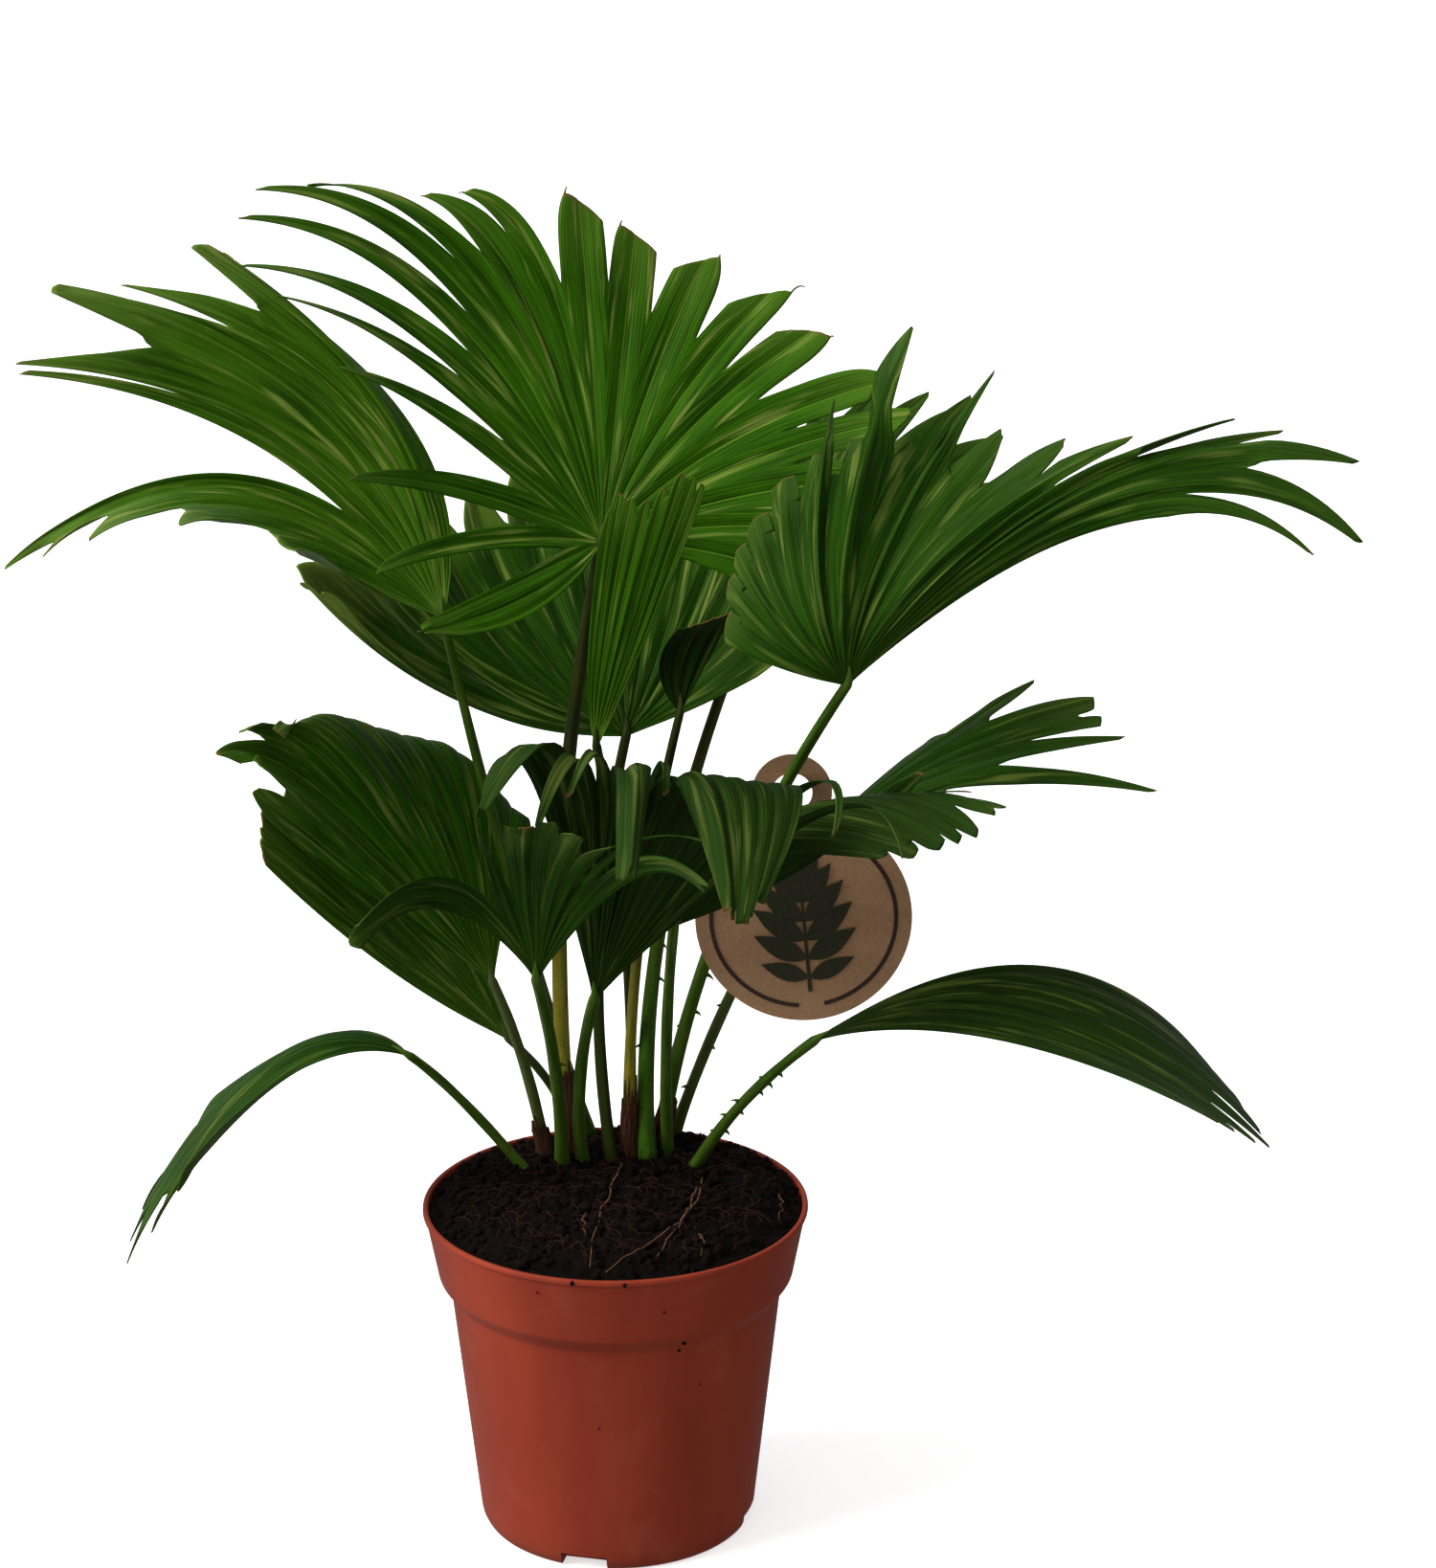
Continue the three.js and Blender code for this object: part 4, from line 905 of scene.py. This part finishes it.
def rounded(points, radius):
    """A profile with each inner corner replaced by a short curve."""
    points = np.array(points, float)
    result = [points[:1]]
    for before, here, after in zip(points, points[1:], points[2:]):
        room = min(radius, 0.45 * np.linalg.norm(here - before), 0.45 * np.linalg.norm(after - here))
        start, end = (here + unit(other - here) * room for other in (before, after))
        result.append(bent(start, here, end, ROUND_STEPS))
    return np.concatenate(result + [points[-1:]])


def around_axis(radii, heights, sides):
    """A grid of points, a ring for each radius and height."""
    turn = 2 * pi * np.arange(sides) / sides
    rings = [np.outer(radii, np.cos(turn)), np.outer(radii, np.sin(turn)), np.outer(heights, np.ones(sides))]
    return np.stack(rings, -1)


def turned_shape(profile):
    shape = Shape()
    numbers = shape.put(around_axis(profile[:, 0], profile[:, 1], POT_SIDES))
    shape.sheet(ringed(np.concatenate([numbers, numbers[:1]])), flip=True)
    return shape


def cut(piece, cutter):
    """Takes the form of another object out of a piece."""
    boolean = piece.modifiers.new("cut", "BOOLEAN")
    boolean.operation = "DIFFERENCE"
    boolean.solver = "EXACT"
    boolean.object = cutter
    bpy.context.view_layer.update()
    graph = bpy.context.evaluated_depsgraph_get()
    done = bpy.data.meshes.new_from_object(piece.evaluated_get(graph))
    piece.modifiers.clear()
    piece.data = done
    bpy.data.objects.remove(cutter)


def pot_radius(height):
    """The pot's outer radius at a height."""
    heights = (POT.foot_height, POT.neck_height, POT.collar_height, POT.rim_height)
    return float(np.interp(height, heights, (POT.foot, POT.neck, POT.collar, POT.rim)))


def drain_places(number, first, radius):
    """Where cutters stand round the pot's axis; first is 0 or the share of a step by which they start."""
    for i in range(number):
        turn = Matrix.Rotation(radians(DRAIN.turn + 360 * (i + first) / number), 4, "Z")
        yield Matrix.Scale(MM, 4) @ (turn @ Matrix.Translation((radius, 0, 0)))


def make_pot():
    p = POT
    d = DRAIN
    profile = [(1, 0), (p.foot - 1.5, 0), (p.foot, p.foot_height), (pot_radius(p.ring_height), p.ring_height),
               (p.neck, p.neck_height), (p.collar, p.collar_height),
               *((p.rim + out, p.rim_height + up) for out, up in LIP),
               (p.collar - p.wall, p.collar_height), (p.neck - p.wall, p.neck_height),
               (p.foot - 0.9, p.floor_height), (1, p.floor_height)]
    pot = turned_shape(rounded(profile, p.rounding)).piece("flower_pot", pot_look, "pot", "pot")
    groove = np.array([(d.inner, -1), (d.outer, -1), (d.outer, d.height), (d.inner, d.height)])
    drains = bmesh.new()
    sizes = Matrix.Diagonal((*d.notch, 2 * d.height, 1))
    for place in drain_places(d.notches, 0, d.outer + 1):
        bmesh.ops.create_cube(drains, size=1, matrix=place @ sizes)
    for place in drain_places(d.holes, 0.5, d.hole_circle):
        bmesh.ops.create_cone(drains, cap_ends=True, segments=24, radius1=d.hole_radius,
                              radius2=d.hole_radius, depth=d.hole_depth, matrix=place)
    cutters = bpy.data.meshes.new("drains")
    drains.to_mesh(cutters)
    drains.free()
    cut(pot, linked("drains", cutters))
    cut(pot, turned_shape(groove).thing("groove"))
    pot.data.materials.clear()
    pot.data.materials.append(pot_look)
    pot.data.set_sharp_from_angle(angle=radians(30))


# The soil: its surface falls from a shoulder, at one radius, to its edge at the pot's wall
SOIL = Sizes(shoulder=54, edge=121.8, edge_radius=67.4, depth=112, tuck=2.2)
SOIL_RINGS = 84
SOIL_SIDES = 260
# Its relief: how fine and how high its swells and lumps are, with a layer of noise for each, and how
# fine the crumbs on them are
RELIEF = ((0.05, 1.6, 3.1), (0.22, 1.3, 9.7))
GRIT = 0.7
CRUMBS = 1500
CRUMB_CIRCLE = 66
SMALLEST_CRUMB = 0.4
CRUMB_RANGE = 1.9
# The first crumbs lie in a heap at the soil's edge: how many, and their radii, turns and sizes
RIM_CRUMBS = 90
RIM_HEAP = ((62, 66.5), (radians(10), radians(110)), (0.8, 2.2))
# Fibres: the circle in which they start and the one that they keep within, and how sharply they may bend
FIBRES = 420
FIBRE_CIRCLE = 62
FIBRE_LIMIT = 65
FIBRE_BEND = 1.1
FIBRE = Sizes(length=(4, 18), radius=(0.09, 0.2), lift=(0.2, 2.4))
# Thin roots that lie on the soil: the radius of each, and its route as places from right to back
ROOTLETS = [
    (0.42, [(1.9, 23.8), (-1, 2), (-3.4, -15.3), (-6.5, -38), (-7.3, -62)]),
    (0.42, [(32, 14.9), (30, -10), (25.3, -27.9), (18.7, -42), (7, -56), (-1.9, -63.5)]),
    (0.42, [(29.6, 1.8), (26.5, -22), (22, -40.3), (13.9, -60)]),
    (0.28, [(-10.1, -19.6), (-10.6, -30), (-9.7, -40.3)]),
    (0.28, [(30.5, -40.3), (31.8, -46), (31.2, -52.5)]),
    (0.28, [(59, 1.8), (60.5, -8), (58.9, -19.6)]),
]
ROOTLET_LIFT = 1.2


def soil_height(x, y):
    """Height of the soil's crumbly surface at a place."""
    fall = float(ease((hypot(x, y) - SOIL.shoulder) / (SOIL.edge_radius - SOIL.shoulder)))
    height = SOIL_LEVEL + (SOIL.edge - SOIL_LEVEL) * fall
    for fine, high, layer in RELIEF:
        height += high * noise.noise(Vector((x * fine, y * fine, layer)))
    return height + noise.fractal(Vector((x * GRIT, y * GRIT, 1.3)), 0.8, 2.1, 3)


def make_soil():
    radii = SOIL.edge_radius * np.arange(SOIL_RINGS + 1) / SOIL_RINGS
    radii = np.maximum(np.append(radii, SOIL.edge_radius - SOIL.tuck), 0.05)
    grid = around_axis(radii, np.full(len(radii), float(SOIL.depth)), SOIL_SIDES)
    grid[:-1, :, 2] = [[soil_height(x, y) for x, y, _ in ring] for ring in grid[:-1]]
    shape = Shape()
    numbers = shape.put(grid)
    shape.sheet(ringed(numbers))
    shape.lid(numbers[-1, ::-1])
    shape.lid(numbers[0])
    shape.piece("potting_soil", soil_look, "soil", "soil")


def lump_form():
    """Points and faces of a small round lump."""
    form = bmesh.new()
    bmesh.ops.create_icosphere(form, subdivisions=2, radius=1)
    points = np.array([v.co for v in form.verts])
    faces = np.array([[v.index for v in face.verts] for face in form.faces])
    form.free()
    return points, faces


def add_lump(shape, form, place, size, rng):
    points, faces = form
    shift = Vector((rng.uniform(0, 99), 0, 0))
    bumpy = np.array([1 + 0.5 * noise.noise(Vector(point * 1.3) + shift) for point in points])
    numbers = shape.put(points * bumpy[:, None] * size * rng.uniform(0.7, 1.2, 3) + place)
    shape.faces += numbers[faces].tolist()


def make_crumbs(rng):
    """Crumbs on the soil and its rim, and the specks stuck to the pot."""
    form = lump_form()
    shape = Shape()
    for i in range(CRUMBS):
        radius = CRUMB_CIRCLE * sqrt(rng.uniform(0, 1))
        turn = rng.uniform(0, 2 * pi)
        size = SMALLEST_CRUMB + CRUMB_RANGE * rng.uniform(0, 1) ** 3.5
        if i < RIM_CRUMBS:
            radius, turn, size = (rng.uniform(*ends) for ends in RIM_HEAP)
        x, y = on_circle(radius, turn)
        add_lump(shape, form, (x, y, soil_height(x, y) + 0.25 * size), size, rng)
    shape.piece("soil_crumbs", crumb_look, "soil")
    specks = Shape()
    for turn, height, size in POT_SPECKS:
        place = on_circle(pot_radius(height) + 0.2 * size, radians(turn))
        add_lump(specks, form, (*place, height), size, rng)
    specks.piece("pot_specks", crumb_look, "soil")


def add_strand(shape, route, radius, lift, rng, sides=6, steps=40):
    """A thin root or fibre that lies on the soil along a route."""
    t = np.linspace(0, 1, len(route))
    fine = np.linspace(0, 1, steps)
    line = np.column_stack([sampled(np.array(route, float), t, fine), 0 * fine])
    for _ in range(3):
        line[1:-1] = (line[:-2] + 2 * line[1:-1] + line[2:]) / 4
    phase = rng.uniform(0, 6, 2)
    line[:, 0] += 0.7 * np.sin(fine * 21 + phase[0]) * np.sin(pi * fine)
    line[:, 1] += 0.5 * np.sin(fine * 16 + phase[1]) * np.sin(pi * fine)
    heights = np.array([soil_height(x, y) for x, y, _ in line])
    heights = np.maximum(heights, np.convolve(np.pad(heights, 3, mode="edge"), np.ones(7) / 7, "valid"))
    line[:, 2] = heights + radius + lift * np.sin(pi * fine)
    add_tube(shape, line, (radius * (1 - 0.55 * fine))[:, None] * np.ones(sides))


def make_roots(rng):
    roots = Shape()
    for radius, route in ROOTLETS:
        add_strand(roots, route, radius, ROOTLET_LIFT, rng)
    roots.piece("rootlets", rootlet_look, "sheath")
    fibres = Shape()
    for _ in range(FIBRES):
        radius = FIBRE_CIRCLE * sqrt(rng.uniform(0, 1))
        turn, way = rng.uniform(0, 2 * pi, 2)
        length = rng.uniform(*FIBRE.length)
        route = [on_circle(radius, turn)]
        for _ in range(3):
            way += rng.uniform(-FIBRE_BEND, FIBRE_BEND)
            route.append(route[-1] + on_circle(length / 3, way))
        if max(np.linalg.norm(point) for point in route) < FIBRE_LIMIT:
            thick, lift = rng.uniform(*FIBRE.radius), rng.uniform(*FIBRE.lift)
            add_strand(fibres, route, thick, lift, rng, sides=5, steps=16)
    fibres.piece("soil_fibres", fibre_look, "soil")


# The card tag: a disc with a ring above it, joined by a neck
TAG = Sizes(disc=37.7, ring=13.8, hole=7, apart=46, thickness=0.8, neck=9, curl=0.0006,
            place=(62.6, -28, 287.4), swing=-5.4, border=(31.4, 32.8), proud=0.06)
# The two halves of the printed border, from turn to turn
BORDER = ((130, 262), (278, 410))
# The printed sprig: how high each pair of leaves starts on its stalk, their length, half width and angle
SPRIG = [(-22, 17, 3.2, 22), (-15, 20, 3.8, 30), (-8, 21, 4.0, 37), (-1, 20, 3.8, 44), (6, 17, 3.4, 52),
         (12, 13, 2.8, 62)]


def arc(radius, start, end, steps, centre=(0, 0)):
    return [tuple(centre + on_circle(radius, turn)) for turn in np.radians(np.linspace(start, end, steps))]


def tag_place(x, z, proud):
    """A point of the tag's flat layout on its slightly curled card, hung at its place."""
    swing = radians(TAG.swing)
    right, back, up = TAG.place
    return (right + x * cos(swing) + z * sin(swing), back + TAG.curl * x * x - proud,
            up - x * sin(swing) + z * cos(swing))


def flat_piece(name, outlines, material, front, back, *nodes):
    """A card or a print: each outline, with its holes, filled and given a front and a back."""
    shape = Shape()
    for loops in outlines:
        flat = [point for loop in loops for point in loop]
        near = shape.put([tag_place(x, z, front) for x, z in flat])
        far = shape.put([tag_place(x, z, back) for x, z in flat])
        for corners in tessellate_polygon([[Vector((x, z, 0)) for x, z in loop] for loop in loops]):
            shape.lid(near[list(corners)])
            shape.lid(far[list(corners)])
        first = 0
        for loop in loops:
            rows = np.stack([near[first:first + len(loop)], far[first:first + len(loop)]])
            shape.sheet(ringed(rows))
            first += len(loop)
    piece = shape.piece(name, material, "card", *nodes, smooth=False)
    form = bmesh.new()
    form.from_mesh(piece.data)
    bmesh.ops.recalc_face_normals(form, faces=form.faces)
    form.to_mesh(piece.data)
    form.free()


def leaf_shape(centre, turn, length, width):
    """A pointed oval for the printed sprig."""
    t = np.linspace(0, 1, 25)
    half = width * np.sin(pi * t ** 0.8)
    outline = list(zip(length * t, half)) + list(zip(length * t[-2:0:-1], -half[-2:0:-1]))
    cosine, sine = cos(radians(turn)), sin(radians(turn))
    return [(centre[0] + x * cosine - z * sine, centre[1] + x * sine + z * cosine) for x, z in outline]


def make_tag():
    t = TAG
    middle = (0, -t.apart)
    ring_turn = degrees(asin(t.neck / 2 / t.ring))
    disc_turn = degrees(asin(t.neck / 2 / t.disc))
    outline = arc(t.ring, -90 + ring_turn, 270 - ring_turn, 64)
    outline += arc(t.disc, 90 + disc_turn, 450 - disc_turn, 140, middle)
    half = t.thickness / 2
    flat_piece("tag_card", [[outline, arc(t.hole, 0, 352.5, 48)]], card_look, half, -half, "tag")
    inner, outer = t.border
    border = [[arc(outer, start, end, 90, middle) + arc(inner, end, start, 90, middle)]
              for start, end in BORDER]
    flat_piece("tag_border", border, brown_ink, half + t.proud, half - 0.1)
    stalk = [(-0.7, -27), (0.7, -27), (0.4, 14), (-0.4, 14)]
    sprig = [[[(x, z - t.apart) for x, z in stalk]], [leaf_shape((0, 13 - t.apart), 90, 13, 2.8)]]
    for height, length, width, turn in SPRIG:
        sprig.append([leaf_shape((0.5, height - t.apart), turn, length, width)])
        sprig.append([leaf_shape((-0.5, height - t.apart), 180 - turn, length, width)])
    flat_piece("tag_sprig", sprig, green_ink, half + t.proud, half - 0.1)


# The camera stands where the photograph was taken from
CAMERA_PLACE = (37.2, -1281.4, 685.7)
CAMERA_PITCH = 17.5
CAMERA_LENS = 87.91
SENSOR_WIDTH = 36
# How far the camera sees, in metres
CLIP_END = 50
# The large soft light at the left: its azimuth from behind the camera, and its elevation
KEY = (-72, 40)
KEY_STRENGTH = 2.8
KEY_SOFTNESS = 35
# How bright the surround is on the side away from that light, and towards it
SURROUND = (0.16, 0.72)
# The floor's glow, and its size and its gap under the pot in metres
FLOOR_GLOW = 0.62
FLOOR_SIZE = 40
FLOOR_GAP = 0.0002


def make_camera():
    camera = linked("camera", bpy.data.cameras.new("camera"))
    camera.location = [value * MM for value in CAMERA_PLACE]
    camera.rotation_euler = (radians(90 - CAMERA_PITCH), 0, 0)
    camera.data.lens = CAMERA_LENS
    camera.data.sensor_width = SENSOR_WIDTH
    camera.data.clip_end = CLIP_END
    bpy.context.scene.camera = camera


def make_stage():
    """A white floor, a large soft light at the left, and a surround that dims away from it."""
    scene = bpy.context.scene
    scene.view_settings.view_transform = "Standard"
    towards = Vector(heading(KEY[0] - 90, KEY[1]))
    light = linked("key", bpy.data.lights.new("key", "SUN"))
    light.data.energy = KEY_STRENGTH
    light.data.angle = radians(KEY_SOFTNESS)
    light.rotation_euler = towards.to_track_quat("Z", "Y").to_euler()
    n = Nodes(bpy.data.worlds.new("studio"), "Background")
    facing = n.add("VectorMath", n.place("Generated"), towards, settings={"operation": "DOT_PRODUCT"})
    dim = n.ramp(facing.outputs["Value"], -1, 1, *SURROUND)
    seen = n.add("LightPath").outputs["Is Camera Ray"]
    scene.world = n.set(Color=(1, 1, 1, 1), Strength=n.math("MAXIMUM", dim, seen))
    floor_look = new_material("floor").set(
        Base_Color=(0.9, 0.9, 0.9, 1), Roughness=1.0, Specular_IOR_Level=0.0,
        Emission_Color=(1, 1, 1, 1), Emission_Strength=FLOOR_GLOW)
    bpy.ops.mesh.primitive_plane_add(size=FLOOR_SIZE, location=(0, 0, -FLOOR_GAP))
    floor = bpy.context.object
    floor.name = "floor"
    floor.data.materials.append(floor_look)
    floor.visible_diffuse = False
    floor.visible_glossy = False


make_camera()
make_stage()
rng = np.random.default_rng(SEED)
leaf_looks = {look: leaf_material(look) for look in LOOKS}
stem_looks = {look: stem_material(f"stem_{look}", *values) for look, values in STEM_LOOKS.items()}
sleeve_look = sleeve_material()
pot_look = pot_material()
soil_look = soil_material("soil", (4, 2, 1), (21, 10, 6))
crumb_look = soil_material("crumbs", (6, 3, 2), (28, 14, 9))
rootlet_look = fibre_material("rootlet", (84, 54, 36), (132, 92, 64))
fibre_look = fibre_material("fibre", (30, 14, 9), (76, 40, 26))
card_look = card_material()
brown_ink = print_material("brown_ink", (50, 35, 30))
green_ink = print_material("green_ink", (38, 42, 26))

make_pot()
make_soil()
make_crumbs(rng)
make_roots(rng)
for name, leaf in LEAVES.items():
    stalk = Shape()
    add_stem(stalk, leaf, rng)
    add_thorns(stalk, leaf, rng)
    stalk.piece(f"stem_{name}", stem_looks[leaf.stalk], "stem", f"petiole_{name}")
    frond = Shape()
    add_blade(frond, leaf, rng)
    frond.piece(f"blade_{name}", leaf_looks[leaf.look], "leaf", f"frond_{name}", thickness=BLADE_THICKNESS)
for name, sizes in SLEEVES.items():
    make_sleeve(name, *sizes)
make_tag()
